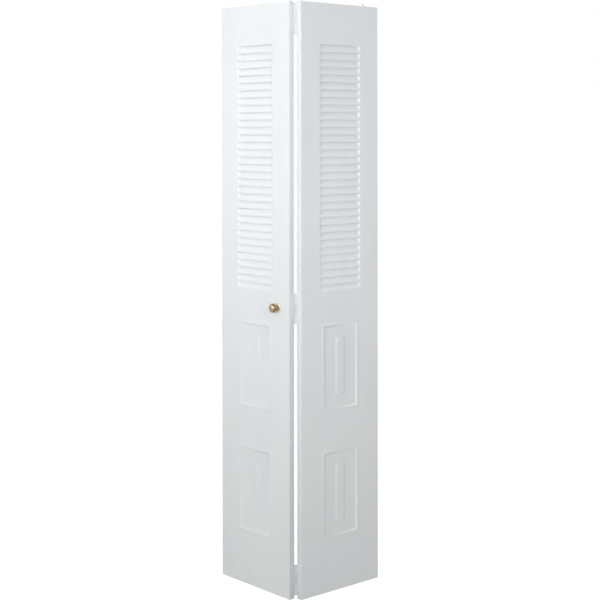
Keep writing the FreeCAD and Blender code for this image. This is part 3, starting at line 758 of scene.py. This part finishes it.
def knob_turning(name, profile):
    """A shape turned round the knob's axis, from radius and height points."""
    foot = leaf_point(KNOB_INSET, 0, LOCK_RAIL_Z)
    return turned(name, foot, FORWARD, profile, KNOB_SIDES, TURNED_SHADE_DEG)


def brass_patina_and_shade(co):
    """How dark the brass is painted: painted shade most at the head's rim, a painted highlight just behind
    it, patina and painted shade into the neck.
    """
    offset = co - leaf_point(KNOB_INSET, 0, LOCK_RAIL_Z)
    radius = math.hypot(offset.x, offset.z)
    if -offset.y > KNOB_RIM:
        growth = ramped(radius / KNOB_RADIUS, RIM_SHADE_START, RIM_SHADE_END)
        return FRONT_PAINTED_SHADE + (RIM_PAINTED_SHADE - FRONT_PAINTED_SHADE) * growth
    inward = (KNOB_RADIUS - radius) / (KNOB_RADIUS - KNOB_NECK_RADIUS)
    return LEAST_PAINTED_SHADE + (NECK_PATINA_AND_SHADE - LEAST_PAINTED_SHADE) * inward


def knob_head(name):
    """The knob's head: a flared foot, a waist and a domed head, marked with painted shade and patina."""
    waist = ROSE_HEIGHT + KNOB_LENGTH * KNOB_WAIST_SHARE
    points = shares([(1.25, 0), (1.25, 0.8), (1.08, 1.6), (1, 3.2)], KNOB_NECK_RADIUS, MM, ROSE_HEIGHT)
    points.append((KNOB_NECK_RADIUS * 0.98, waist))
    for step in range(1, SWELL_STEPS):
        angle = math.pi / 2 * step / SWELL_STEPS
        radius = KNOB_NECK_RADIUS + (KNOB_RADIUS - KNOB_NECK_RADIUS) * math.sin(angle)
        points.append((radius, waist + (KNOB_RIM - waist) * (1 - math.cos(angle))))
    for step in range(DOME_STEPS):
        angle = math.pi / 2 * step / DOME_STEPS
        height = KNOB_RIM + (KNOB_PROJECTION - KNOB_RIM) * math.sin(angle)
        points.append((KNOB_RADIUS * math.cos(angle), height))
    points.append((KNOB_CROWN_RADIUS, KNOB_PROJECTION))
    head = knob_turning(name, points)
    # painted shade, a painted highlight and patina, marked on the head
    mark(head, "brass_patina_and_shade", brass_patina_and_shade)
    return head


def knob_rose(name):
    """The rose: a rim, a soft dome and a stepped collar."""
    rim_and_dome = [(1, 0), (1, 0.2), (0.985, 0.4), (0.93, 0.62), (0.82, 0.78), (0.66, 0.86)]
    collar = [(0.62, 0.88), (0.60, 1), (0.40, 1)]
    return knob_turning(name, shares(rim_and_dome + collar, ROSE_RADIUS, ROSE_HEIGHT))


def knob_screw(name):
    """The slotted screw that holds the knob, its head behind the lock channel."""
    foot = leaf_point(KNOB_INSET, LEAF_THICKNESS - SHEET, LOCK_RAIL_Z)
    tip = -(LEAF_THICKNESS - SHEET + ROSE_HEIGHT + SCREW_GRIP - SCREW_END_GAP)
    head = [(1, 0), (1, 0.5), (0.94, 0.78), (0.8, 0.95), (0.6, 1)]
    profile = [(SCREW_RADIUS * 0.8, tip), (SCREW_RADIUS, tip + SCREW_POINT), (SCREW_RADIUS, 0)]
    profile += shares(head, SCREW_HEAD_RADIUS, SCREW_HEAD_HEIGHT)
    piece = turned(name, foot, BACKWARD, profile, PIN_SIDES)
    slot = (LOCK_RAIL_Z - SCREW_SLOT / 2, LOCK_RAIL_Z + SCREW_SLOT / 2)
    start_edit()
    for z in slot:
        cut_at(2, z)
    pick("FACE", lambda co: near(co.y, foot.y + SCREW_HEAD_HEIGHT) and within(co.z, slot))
    draw_out((0, -SCREW_SLOT_DEPTH, 0))
    leave_edit()
    smooth(piece, TURNED_SHADE_DEG)
    return piece


# ---- cross channels

def cross_channel(name, outline, z, holes=()):
    """A channel across the leaf, from points of depth in the leaf and rise above a height."""
    path = [leaf_point(CHANNEL_START_U, t, z + rise) for t, rise in outline]
    run = Vector((CHANNEL_RUN, 0, 0))
    return folded_strip(name, path, run, CHANNEL_SHEET, CHANNEL_BEND, CHANNEL_CORNER, holes)


def end_channel(name, web_z, leg_way, hole_radius):
    """The channel that closes the top or bottom of a leaf, with a hole for its pin."""
    web = leg_way * CHANNEL_SHEET / 2
    leg = leg_way * END_CHANNEL_LEG
    outline = [(CHANNEL_FRONT_T, leg), (CHANNEL_FRONT_T, web), (CHANNEL_BACK_T, web), (CHANNEL_BACK_T, leg)]
    holes = [(end_pin_point(web_z + web), hole_radius)] if hole_radius else []
    return cross_channel(name, outline, web_z, holes)


def weld_mark(name, point):
    """The low button that a spot weld leaves on a channel's foot."""
    profile = [(1, 0), (0.9, 1), (0.7, 1), (0.55, 0.4), (0.2, 0.3)]
    return turned(name, point, BACKWARD, shares(profile, WELD_RADIUS, WELD_HEIGHT), WELD_SIDES)


def hat_channel(name, z):
    """The hat-section stiffener behind a rail, its feet spot-welded to the front sheet."""
    crown = HAT_CROWN / 2
    root = crown + HAT_FLARE
    foot_end = root + HAT_FOOT
    outline = [(CHANNEL_FRONT_T, foot_end), (CHANNEL_FRONT_T, root), (CHANNEL_BACK_T, crown)]
    outline += [(t, -rise) for t, rise in reversed(outline)]
    parts = [cross_channel(name, outline, z)]
    button = weld_mark("weld_mark", leaf_point(0, SHEET + CHANNEL_SHEET, z))
    for way in (-1, 1):
        for step in range(WELDS_PER_FOOT):
            u = CHANNEL_START_U + CHANNEL_RUN * (step + 0.5) / WELDS_PER_FOOT
            parts.append(copy_of(button, "weld_mark_copy", (u, 0, way * (root + foot_end) / 2)))
    bpy.data.objects.remove(button)
    join(parts, name)
    return leave_edit()


# ---- hinges

def knuckle(name, low, high):
    """One knuckle of a hinge, bored for the pin and chamfered at both ends."""
    length = high - low
    end = [(KNUCKLE_BORE, 0), (KNUCKLE_RADIUS - KNUCKLE_CHAMFER, 0), (KNUCKLE_RADIUS, KNUCKLE_CHAMFER)]
    other_end = [(radius, length - along) for radius, along in reversed(end)]
    profile = end + other_end + end[:1]
    return turned(name, Vector((0, 0, low)), UPWARD, profile, PIN_SIDES, TURNED_SHADE_DEG)


def rivet_head(name, point):
    """The low head of a rivet, seen on a hinge plate's face."""
    profile = shares([(1, 0), (0.94, 0.6), (0.8, 1), (0.4, 1), (0.3, 0.4)], RIVET_RADIUS, RIVET_RISE)
    return turned(name, point, INWARD, profile, RIVET_SIDES, TURNED_SHADE_DEG)


def hinge_plate(name, hinge_z, first_knuckle):
    """One hinge plate: a riveted wing, notched for the other plate, and its knuckles."""
    step = HINGE_LENGTH / KNUCKLE_COUNT
    trim = KNUCKLE_GAP / 2
    low = hinge_z - HINGE_LENGTH / 2
    ends = (low + trim, hinge_z + HINGE_LENGTH / 2 - trim)
    front_y = FRONT_Y + HINGE_FRONT_MARGIN
    notch_y = -KNUCKLE_RADIUS - SWING_CLEARANCE
    tongue_y = -KNUCKLE_BORE - KNUCKLE_GAP
    wing = start_plane(name, (LEAF_X, front_y, ends[0]), (LEAF_X, tongue_y, ends[1]))
    cut_at(1, notch_y)
    for index in range(1 - first_knuckle, KNUCKLE_COUNT, 2):
        notch = (low + index * step - trim, low + (index + 1) * step + trim)
        for z in notch:
            cut_at(2, z)
        pick("FACE", lambda co: co.y > notch_y - TINY and within(co.z, notch))
        bpy.ops.mesh.delete(type="FACE")
    round_corners([Vector((LEAF_X, front_y, z)) for z in ends], HINGE_CORNER, BEND_SEGMENTS)
    leave_edit()
    thicken(wing, HINGE_PLATE, -1, PLATE_SOFTNESS)
    parts = [wing]
    for index in range(first_knuckle, KNUCKLE_COUNT, 2):
        parts.append(knuckle("knuckle", low + index * step + trim, low + (index + 1) * step - trim))
    for along, side in RIVET_PLACES:
        y = (front_y + notch_y) / 2 + side * RIVET_RADIUS
        point = Vector((LEAF_X - HINGE_PLATE, y, hinge_z + along * HINGE_LENGTH))
        parts.append(rivet_head("rivet", point))
    join(parts, name)
    return leave_edit()


def hinge_pin(name, hinge_z):
    """A hinge pin with a domed head on the top knuckle."""
    length = HINGE_LENGTH - KNUCKLE_GAP / 2
    head = [(1, 0), (1, 0.55), (0.9, 0.82), (0.65, 0.96), (0.3, 1)]
    profile = shares([(0.8, 0), (1, 0.2)], HINGE_PIN_RADIUS, HINGE_PIN_RADIUS)
    profile.append((HINGE_PIN_RADIUS, length))
    profile += shares(head, HINGE_PIN_HEAD_RADIUS, HINGE_PIN_HEAD, length)
    foot = Vector((0, 0, hinge_z - HINGE_LENGTH / 2))
    return turned(name, foot, UPWARD, profile, PIN_SIDES, SHADE_DEG)


# ---- pins at the leaf ends

def pin_turning(name, profile):
    """A shape turned round the end pins' axis, from radius and height points."""
    return turned(name, end_pin_point(0), UPWARD, profile, PIN_SIDES, SHADE_DEG)


def end_bush(name):
    """The flanged nylon bush in a leaf's top channel."""
    top_z = LEAF_HEIGHT + BUSH_FLANGE
    lead_in = 0.5 * MM
    return pin_turning(name, [
        (BUSH_BORE, BUSH_FOOT_Z),
        (BUSH_RADIUS - lead_in, BUSH_FOOT_Z),
        (BUSH_RADIUS, BUSH_FOOT_Z + lead_in),
        (BUSH_RADIUS, LEAF_HEIGHT),
        (BUSH_FLANGE_RADIUS, LEAF_HEIGHT),
        (BUSH_FLANGE_RADIUS, top_z - lead_in),
        (BUSH_FLANGE_RADIUS - lead_in / 2, top_z - lead_in / 5),
        (BUSH_FLANGE_RADIUS - lead_in, top_z),
        (BUSH_BORE + lead_in, top_z),
        (BUSH_BORE, top_z - lead_in),
        (BUSH_BORE, BUSH_FOOT_Z),
    ])


def top_pivot_pin(name):
    """The sprung top pivot: a rounded tip, a shank, a shoulder for the spring and a thin tail."""
    tip_z = LEAF_HEIGHT + BUSH_FLANGE + TOP_PIN_RISE
    tip_foot_z = LEAF_HEIGHT + BUSH_FLANGE + TOP_PIN_TIP_LIFT
    tail_z = TOP_BRACKET_Z - RUNNING_CLEARANCE - CLIP_SHEET - TAIL_BELOW_CLIP
    ease = 0.4 * MM
    tip = [(1, -4), (0.95, -2.6), (0.85, -1.2), (0.68, -0.3), (0.5, 0)]
    shank = [
        (TOP_PIN_TAIL_RADIUS - ease, tail_z),
        (TOP_PIN_TAIL_RADIUS, tail_z + ease),
        (TOP_PIN_TAIL_RADIUS, PIN_SHOULDER_Z),
        (TOP_PIN_RADIUS - ease, PIN_SHOULDER_Z),
        (TOP_PIN_RADIUS, PIN_SHOULDER_Z + ease),
        (TOP_PIN_RADIUS, tip_foot_z),
        (TOP_PIN_TIP_RADIUS, tip_foot_z + ease),
    ]
    crown = [(PIN_CENTRE_RADIUS, tip_z)]
    return pin_turning(name, shank + shares(tip, TOP_PIN_TIP_RADIUS, ease, tip_z) + crown)


def top_guide_pin(name):
    """The nylon guide, pushed home, with a stop at its foot and a dimple in its end."""
    tip_z = LEAF_HEIGHT + BUSH_FLANGE
    foot_top_z = BUSH_FOOT_Z - GUIDE_TRAVEL - RUNNING_CLEARANCE
    foot_z = foot_top_z - GUIDE_FOOT_HEIGHT
    ease = 0.5 * MM
    return pin_turning(name, [
        (GUIDE_FOOT_RADIUS - ease, foot_z),
        (GUIDE_FOOT_RADIUS, foot_z + ease),
        (GUIDE_FOOT_RADIUS, foot_top_z - ease),
        (GUIDE_FOOT_RADIUS - ease, foot_top_z),
        (TOP_PIN_RADIUS, foot_top_z),
        (TOP_PIN_RADIUS, tip_z - ease),
        (TOP_PIN_RADIUS - ease, tip_z),
        (TOP_PIN_RADIUS * 0.5, tip_z),
        (TOP_PIN_RADIUS * 0.4, tip_z - 2 * ease),
        (PIN_CENTRE_RADIUS, tip_z - 2 * ease),
    ])


def bottom_pivot_pin(name):
    """The threaded bottom pivot: a plain rounded tip, a thread and a chamfered end."""
    root = BOTTOM_PIN_RADIUS - THREAD_PITCH / 2
    ease = 0.5 * MM
    tip = shares([(0.5, 0), (0.82, 1), (1, 3)], BOTTOM_PIN_RADIUS, ease, BOTTOM_PIN_RECESS)
    core = pin_turning("pin_core", tip + [
        (BOTTOM_PIN_RADIUS, THREAD_START - ease),
        (root, THREAD_START + ease),
        (root, BOTTOM_PIN_TOP - ease),
        (root - ease, BOTTOM_PIN_TOP),
    ])
    turns = int((BOTTOM_PIN_TOP - THREAD_START) / THREAD_PITCH) - THREAD_CLEAR_TURNS
    start = end_pin_point(THREAD_START + THREAD_PITCH / 2)
    thread = coil("pin_thread", start, THREAD_PITCH / 2, THREAD_SIDES, root, THREAD_PITCH, turns)
    join([core, thread], name)
    return leave_edit()


def top_pivot_spring(name):
    """The coil spring between the bracket and the pin's shoulder."""
    wire = SPRING_WIRE_RADIUS
    radius = TOP_PIN_TAIL_RADIUS + 2 * wire
    foot = end_pin_point(TOP_BRACKET_Z + BRACKET_SHEET + wire + RUNNING_CLEARANCE)
    height = PIN_SHOULDER_Z - TOP_BRACKET_Z - BRACKET_SHEET - 2 * wire - 2 * RUNNING_CLEARANCE
    return coil(name, foot, wire, WIRE_SIDES, radius, height / SPRING_TURNS, SPRING_TURNS)


def bracket(name, low_z, height, low_hole, high_hole):
    """A U-shaped bracket with two holed flanges, open towards the leaf's outer edge."""
    half = BRACKET_SHEET / 2
    back_u = END_PIN_U - BRACKET_REACH + half
    tip_u = END_PIN_U + BRACKET_REACH
    low = low_z + half
    high = low_z + height - half
    outline = [(tip_u, low), (back_u, low), (back_u, high), (tip_u, high)]
    path = [leaf_point(u, MID_T - BRACKET_WIDTH / 2, z) for u, z in outline]
    holes = [(end_pin_point(low), low_hole), (end_pin_point(high), high_hole)]
    run = Vector((0, BRACKET_WIDTH, 0))
    return folded_strip(name, path, run, BRACKET_SHEET, BRACKET_BEND, BRACKET_CORNER, holes)


def push_clip(name):
    """The push-on clip on the top pivot's tail, under its bracket."""
    centre = end_pin_point(TOP_BRACKET_Z - RUNNING_CLEARANCE)
    half = CLIP_WIDTH / 2
    clip = start_plane(name, centre - Vector((half, half, 0)), centre + Vector((half, half, 0)))
    round_corners([centre + Vector((x, y, 0)) for x in (-half, half) for y in (-half, half)], CLIP_CORNER)
    round_hole(centre, TOP_PIN_TAIL_RADIUS)
    leave_edit()
    thicken(clip, CLIP_SHEET, -1, SHEET_SOFTNESS)
    return clip


def adjusting_nut(name):
    """The hexagonal nut on the bottom pivot."""
    foot = end_pin_point(CHANNEL_SHEET + BRACKET_SHEET + NUT_GAP)
    nut = start_ring(name, NUT_SIDES, NUT_CORNER_RADIUS, foot, UPWARD, math.pi / 2)
    bpy.ops.mesh.subdivide(number_cuts=HOLE_SIDES // NUT_SIDES - 1)
    bore = BOTTOM_PIN_RADIUS + RUNNING_CLEARANCE
    bpy.ops.mesh.primitive_circle_add(vertices=HOLE_SIDES, radius=bore, location=foot)
    select_whole()
    bpy.ops.mesh.bridge_edge_loops()
    select_whole()
    draw_out((0, 0, NUT_HEIGHT))
    face_outwards()
    leave_edit()
    soften(nut, NUT_SOFTNESS)
    return nut


# ---- finishes

class NodeTree:
    """The nodes of a material or of the world, in the making."""

    def __init__(self, tree):
        self.nodes = tree.nodes
        self.links = tree.links

    def fill(self, socket, value):
        """Link a socket to another, or set its value; a colour gets its alpha."""
        if isinstance(value, bpy.types.NodeSocket):
            self.links.new(value, socket)
        else:
            socket.default_value = (*value, 1) if socket.type == "RGBA" else value

    def feed(self, node, **inputs):
        """Fill the inputs of a node, each by its name."""
        for name, value in inputs.items():
            self.fill(node.inputs[name.replace("_", " ")], value)

    def node(self, kind, **inputs):
        """A new node with its inputs filled."""
        node = self.nodes.new("ShaderNode" + kind)
        self.feed(node, **inputs)
        return node

    def math(self, operation, first, second):
        """What two shares come to."""
        node = self.node("Math")
        node.operation = operation
        self.fill(node.inputs[0], first)
        self.fill(node.inputs[1], second)
        return node.outputs[0]

    def seen_directly(self):
        """Whole for what the camera sees straight or in a shiny or clear surface, none for the rest."""
        path = self.node("LightPath")
        total = path.outputs["Is Camera Ray"]
        for name in ("Is Glossy Ray", "Is Transmission Ray"):
            total = self.math("MAXIMUM", total, path.outputs[name])
        return total


class Finish(NodeTree):
    """A material in the making: its nodes and its shader."""

    def __init__(self, name):
        self.material = bpy.data.materials.new(name)
        self.material.use_nodes = True
        super().__init__(self.material.node_tree)
        self.shader = self.nodes["Principled BSDF"]
        self.place = self.node("TexCoord").outputs["Object"]

    def set(self, **inputs):
        """Fill the shader's own inputs."""
        self.feed(self.shader, **inputs)

    def noise(self, scale, detail, roughness, stretch=(1, 1, 1)):
        """A noise pattern on the piece's own coordinates."""
        mapping = self.node("Mapping", Vector=self.place, Scale=stretch)
        pattern = self.node("TexNoise", Vector=mapping.outputs["Vector"], Scale=scale, Detail=detail,
                            Roughness=roughness)
        return pattern.outputs["Fac"]

    def marked(self, name):
        """A value marked on the mesh, none where a piece has no marks."""
        node = self.node("Attribute")
        node.attribute_name = name
        return node.outputs["Fac"]

    def height_share(self, start, end):
        """A share that grows from none at one height to whole at another."""
        parts = self.node("SeparateXYZ", Vector=self.place)
        spread = self.node("MapRange", Value=parts.outputs["Z"], From_Min=start, From_Max=end)
        return spread.outputs["Result"]

    def spread(self, noise, places, tones):
        """A colour that goes from one tone to another between two places in a noise."""
        node = self.node("ValToRGB", Fac=self.noise(*noise))
        for element, place, tone in zip(node.color_ramp.elements, places, tones):
            element.position = place
            element.color = (*tone, 1)
        return node.outputs["Color"]

    def mixed(self, share, first, second):
        """Two colours mixed by a share, each a colour or a socket."""
        node = self.node("Mix")
        node.data_type = "RGBA"
        self.feed(node, Factor=share, A=first, B=second)
        return node.outputs["Result"]

    def rough(self, noise, low, high):
        """Roughness spread between two values over a noise."""
        roughness = self.node("MapRange", Value=self.noise(*noise), To_Min=low, To_Max=high)
        self.set(Roughness=roughness.outputs["Result"])

    def bump(self, *layers):
        """Relief from one or more noises, each with its strength and its height in metres."""
        normal = {}
        for noise, strength, distance in layers:
            node = self.node("Bump", Height=self.noise(*noise), Strength=strength, Distance=distance)
            self.feed(node, **normal)
            normal = {"Normal": node.outputs["Normal"]}
        self.set(**normal)


# Tones, each pair the light one and the dark one
SKIN_WHITE = (0.785, 0.812, 0.832)
CHANNEL_WHITE = (0.745, 0.772, 0.79)
BRASS_TONES = ((0.60, 0.48, 0.32), (0.50, 0.38, 0.24))
# dark brass for the knob's painted shade and for patina
SHADED_AND_BROWNED_BRASS = (0.15, 0.105, 0.07)
ZINC_TONES = ((0.62, 0.63, 0.64), (0.48, 0.49, 0.51))
SPRING_TONES = ((0.36, 0.36, 0.37), (0.20, 0.20, 0.21))
NYLON_TONES = ((0.83, 0.81, 0.75), (0.76, 0.73, 0.65))

# The enamel's dull spots, as a share of its sound tone; painted shade along the fold edge, as shares of its
# tone at two heights, darker towards the bottom; and a warmer tint towards the bottom, between two heights
DULL_SHARE = 0.955
EDGE_SHADE_SHARE_HIGH = 0.92
EDGE_SHADE_SHARE_LOW = 0.80
EDGE_SHADE_HEIGHTS = (1.95, 0.45)
WARM_SHARES = (1.005, 1, 0.975)
WARM_HEIGHTS = (1.5, 0.3)
# how much painted shade each leaf's fold edge and hinge plates get
PAINTED_EDGE_SHADE = {"pivot": 0.3, "lead": 1.0}


def dimmed(tone, share):
    """A tone brought down to a share of itself."""
    return tuple(part * share for part in tone)


def white_enamel(name, tone, sheen_low, sheen_high):
    """Baked white enamel on pressed steel: faint orange peel, faint soiling and dull spots, and painted shade
    along the fold edge, darker towards the bottom.
    """
    finish = Finish(name)
    soil = finish.spread((7, 6, 0.6, (1, 1, 0.45)), (0.42, 0.78), ((0, 0, 0), (1, 1, 1)))
    warm = tuple(part * share for part, share in zip(tone, WARM_SHARES))
    sound = finish.mixed(finish.height_share(*WARM_HEIGHTS), tone, warm)
    face = finish.mixed(soil, sound, dimmed(tone, DULL_SHARE))
    # painted shade along the fold edge, darker towards the bottom
    edge_shade = finish.mixed(finish.height_share(*EDGE_SHADE_HEIGHTS), dimmed(tone, EDGE_SHADE_SHARE_HIGH),
                        dimmed(tone, EDGE_SHADE_SHARE_LOW))
    finish.set(Base_Color=finish.mixed(finish.marked("painted_edge_shade"), face, edge_shade), Specular_IOR_Level=0.42)
    finish.rough((24, 5, 0.6), sheen_low, sheen_high)
    finish.bump(((14, 2, 0.4), 0.25, 0.0006), ((620, 2, 0.4), 0.16, 0.00012))
    return finish.material


def polished_brass():
    """Lacquered brass with turning marks, darkened by painted shade and reflection on the knob's head and by
    patina in its neck.
    """
    finish = Finish("lacquered_brass")
    bright = finish.spread((160, 6, 0.65), (0.35, 0.72), BRASS_TONES)
    # painted shade and highlight on the head, and patina in the neck, from the head's marks
    finish.set(Base_Color=finish.mixed(finish.marked("brass_patina_and_shade"), bright, SHADED_AND_BROWNED_BRASS))
    finish.set(Metallic=1.0, Coat_Weight=0.15, Coat_Roughness=0.12)
    finish.rough((420, 4, 0.6), 0.24, 0.42)
    finish.bump(((900, 2, 0.5), 0.12, 0.00008))
    return finish.material


def plain_finish(name, tones, sheen, relief, **settings):
    """A material with one spread of tones, one of roughness and one relief."""
    finish = Finish(name)
    finish.set(Base_Color=finish.spread(*tones), **settings)
    finish.rough(*sheen)
    finish.bump(relief)
    return finish.material


FINISHES = {
    "painted_skin": white_enamel("white_enamel_skin", SKIN_WHITE, 0.34, 0.46),
    "painted_channel": white_enamel("white_enamel_channel", CHANNEL_WHITE, 0.42, 0.56),
    "painted_hinge": white_enamel("white_enamel_hinge", SKIN_WHITE, 0.34, 0.46),
    # Bright zinc plate with a cloudy passivated skin
    "zinc_steel": plain_finish("zinc_plate", ((240, 5, 0.6), (0.3, 0.75), ZINC_TONES),
                               ((380, 4, 0.6), 0.26, 0.46), ((1400, 3, 0.5), 0.2, 0.00005), Metallic=1.0),
    # Drawn wire with a dark oiled tone
    "spring_steel": plain_finish("drawn_spring_wire", ((500, 4, 0.6), (0.3, 0.8), SPRING_TONES),
                                 ((700, 3, 0.5), 0.28, 0.45), ((2200, 2, 0.5), 0.25, 0.00004), Metallic=1.0),
    # Natural nylon, a little yellowed
    "nylon": plain_finish("moulded_nylon", ((90, 4, 0.5), (0.3, 0.8), NYLON_TONES),
                          ((300, 3, 0.5), 0.42, 0.58), ((1200, 2, 0.5), 0.2, 0.00005),
                          Subsurface_Weight=0.12, Subsurface_Scale=0.002),
    "brass": polished_brass(),
}


# ---- the room

FLOOR_SIZE = 30
FLOOR_TONE = (0.35, 0.35, 0.35)
FLOOR_ROUGHNESS = 0.9
FLOOR_GLOW = 0.82
SKY_STRENGTH = 0.35
LAMP_SPREAD_DEG = 80

# Each lamp's place, the height on the fold that it is aimed at, its size and its power
LAMPS = {
    "left_side": ((-4.2, -1.6, 2.4), 1.6, 1.6, 8.5),
    "left_front": ((-2.4, -3.8, 2.0), 1.7, 1.2, 18.4),
    "right_low": ((3.6, -2.8, 1.4), 1.4, 1.6, 9.9),
    "right_front": ((1.2, -4.6, 1.9), 1.5, 1.4, 9.5),
    "above": ((-0.6, -2.2, 4.6), 1.6, 1.6, 4.1),
    "left_behind": ((-2.8, 3.2, 2.6), 1.1, 1.6, 5.5),
    "right_behind": ((2.8, 3.2, 2.6), 1.1, 1.6, 5.5),
}

CAMERA_PLACE = (0.2837, -4.3713, 1.5437)
CAMERA_TURN_DEG = (90, 0.06, 3.6)
CAMERA_LENS = 76.2
CAMERA_SENSOR = 36
CAMERA_SHIFT = -0.268


def pale_floor():
    """The pale floor, which the camera and reflections see as near white, with a faint shadow."""
    finish = Finish("pale_floor")
    finish.set(Base_Color=FLOOR_TONE, Roughness=FLOOR_ROUGHNESS)
    strength = finish.math("MULTIPLY", finish.seen_directly(), FLOOR_GLOW)
    glow = finish.node("Emission", Color=(1, 1, 1), Strength=strength)
    both = finish.node("AddShader")
    for socket, shader in zip(both.inputs, (finish.shader, glow)):
        finish.fill(socket, shader.outputs[0])
    finish.feed(finish.nodes["Material Output"], Surface=both.outputs[0])
    return finish.material


def build_stage():
    """A plain pale floor and a white surround."""
    bpy.ops.mesh.primitive_plane_add(size=FLOOR_SIZE, location=(0, 0, 0))
    floor = bpy.context.object
    floor.name = "floor"
    floor.data.materials.append(pale_floor())
    world = bpy.data.worlds.new("studio")
    world.use_nodes = True
    bpy.context.scene.world = world
    tree = NodeTree(world.node_tree)
    sky = tree.node("MapRange", Value=tree.seen_directly(), To_Min=SKY_STRENGTH, To_Max=1.0)
    tree.feed(tree.nodes["Background"], Color=(1, 1, 1), Strength=sky.outputs["Result"])


def soft_lamp(name, place, aim_z, size, power):
    """A square soft lamp aimed at a height on the fold, with its light held to a cone."""
    data = bpy.data.lights.new(name, "AREA")
    data.shape = "SQUARE"
    data.size = size
    data.energy = power
    data.spread = math.radians(LAMP_SPREAD_DEG)
    lamp = add_object(name, data)
    lamp.location = place
    lamp.rotation_euler = (Vector((0, 0, aim_z)) - Vector(place)).to_track_quat("-Z", "Y").to_euler()


def build_camera():
    """The camera, level and turned a little to the left, with its horizon high in the frame."""
    data = bpy.data.cameras.new("camera")
    data.lens = CAMERA_LENS
    data.sensor_width = CAMERA_SENSOR
    data.shift_y = CAMERA_SHIFT
    camera = add_object("camera", data)
    camera.location = CAMERA_PLACE
    camera.rotation_euler = [math.radians(turn) for turn in CAMERA_TURN_DEG]
    bpy.context.scene.camera = camera


# ---- the door

# Every CAD node has the finish of its slot, also where a piece stands for it
for node, slot in SLOT_OF.items():
    paint(frame["nodes"][node], slot)

pivot_skin = pressed_skin()
lead_skin = copy_of(pivot_skin, "lead_pressed_skin")
pivot_skin.name = "pivot_pressed_skin"
for side, skin in (("pivot", pivot_skin), ("lead", lead_skin)):
    # painted shade along the skin's fold edge
    mark_edge(skin, side)
    fit(skin, side, side + "_skin")

bush_hole = BUSH_RADIUS + HOLE_CLEARANCE
for side in ("pivot", "lead"):
    pin_hole = BOTTOM_PIN_RADIUS + HOLE_CLEARANCE if side == "pivot" else 0
    top = end_channel(side + "_top_folded_channel", LEAF_HEIGHT, -1, bush_hole)
    fit(top, side, side + "_top_channel")
    bottom = end_channel(side + "_bottom_folded_channel", 0, 1, pin_hole)
    fit(bottom, side, side + "_bottom_channel")
    fit(hat_channel(side + "_lock_hat_channel", LOCK_RAIL_Z), side, side + "_lock_channel")
    fit(hat_channel(side + "_mid_hat_channel", MID_RAIL_Z), side, side + "_mid_channel")
    for place, hinge_z in HINGES.items():
        plate = hinge_plate(place + "_riveted_" + side + "_plate", hinge_z, int(side == "lead"))
        # painted shade over the whole hinge plate
        mark_edge(plate, side)
        fit(plate, side, place + "_hinge_" + side + "_plate")
for place, hinge_z in HINGES.items():
    fit(hinge_pin(place + "_domed_hinge_pin", hinge_z), "pivot", place + "_hinge_pin")

fit(end_bush("top_pivot_turned_bush"), "pivot", "top_pivot_bush")
fit(end_bush("top_guide_turned_bush"), "lead", "top_guide_bush")
fit(top_guide_pin("top_guide_turned_pin"), "lead", "top_guide_pin")
fit(top_pivot_pin("top_pivot_turned_pin"), "pivot", "top_pivot_pin")
fit(push_clip("top_pivot_push_clip"), "pivot", "top_pivot_clip")
tail_bore = TOP_PIN_TAIL_RADIUS + RUNNING_CLEARANCE
fit(bracket("top_pivot_folded_bracket", TOP_BRACKET_Z, TOP_BRACKET_HEIGHT, tail_bore, bush_hole),
    "pivot", "top_pivot_bracket")
spring = top_pivot_spring("top_pivot_wound_spring")
fit(spring, "pivot", "top_pivot_spring")
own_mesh(spring)

pin_bore = BOTTOM_PIN_RADIUS + RUNNING_CLEARANCE
fit(bracket("bottom_pivot_folded_bracket", CHANNEL_SHEET, BOTTOM_BRACKET_HEIGHT, pin_bore, pin_bore),
    "pivot", "bottom_pivot_bracket")
fit(bottom_pivot_pin("bottom_pivot_threaded_pin"), "pivot", "bottom_pivot_pin")
fit(adjusting_nut("bottom_adjusting_hex_nut"), "pivot", "bottom_adjusting_nut")

fit(knob_head("turned_knob_head"), "lead", "knob_head")
fit(knob_rose("turned_knob_rose"), "lead", "knob_rose")
fit(knob_screw("slotted_knob_screw"), "lead", "knob_screw")

build_stage()
for name, settings in LAMPS.items():
    soft_lamp(name, *settings)
build_camera()
bpy.context.scene.view_settings.view_transform = "Standard"
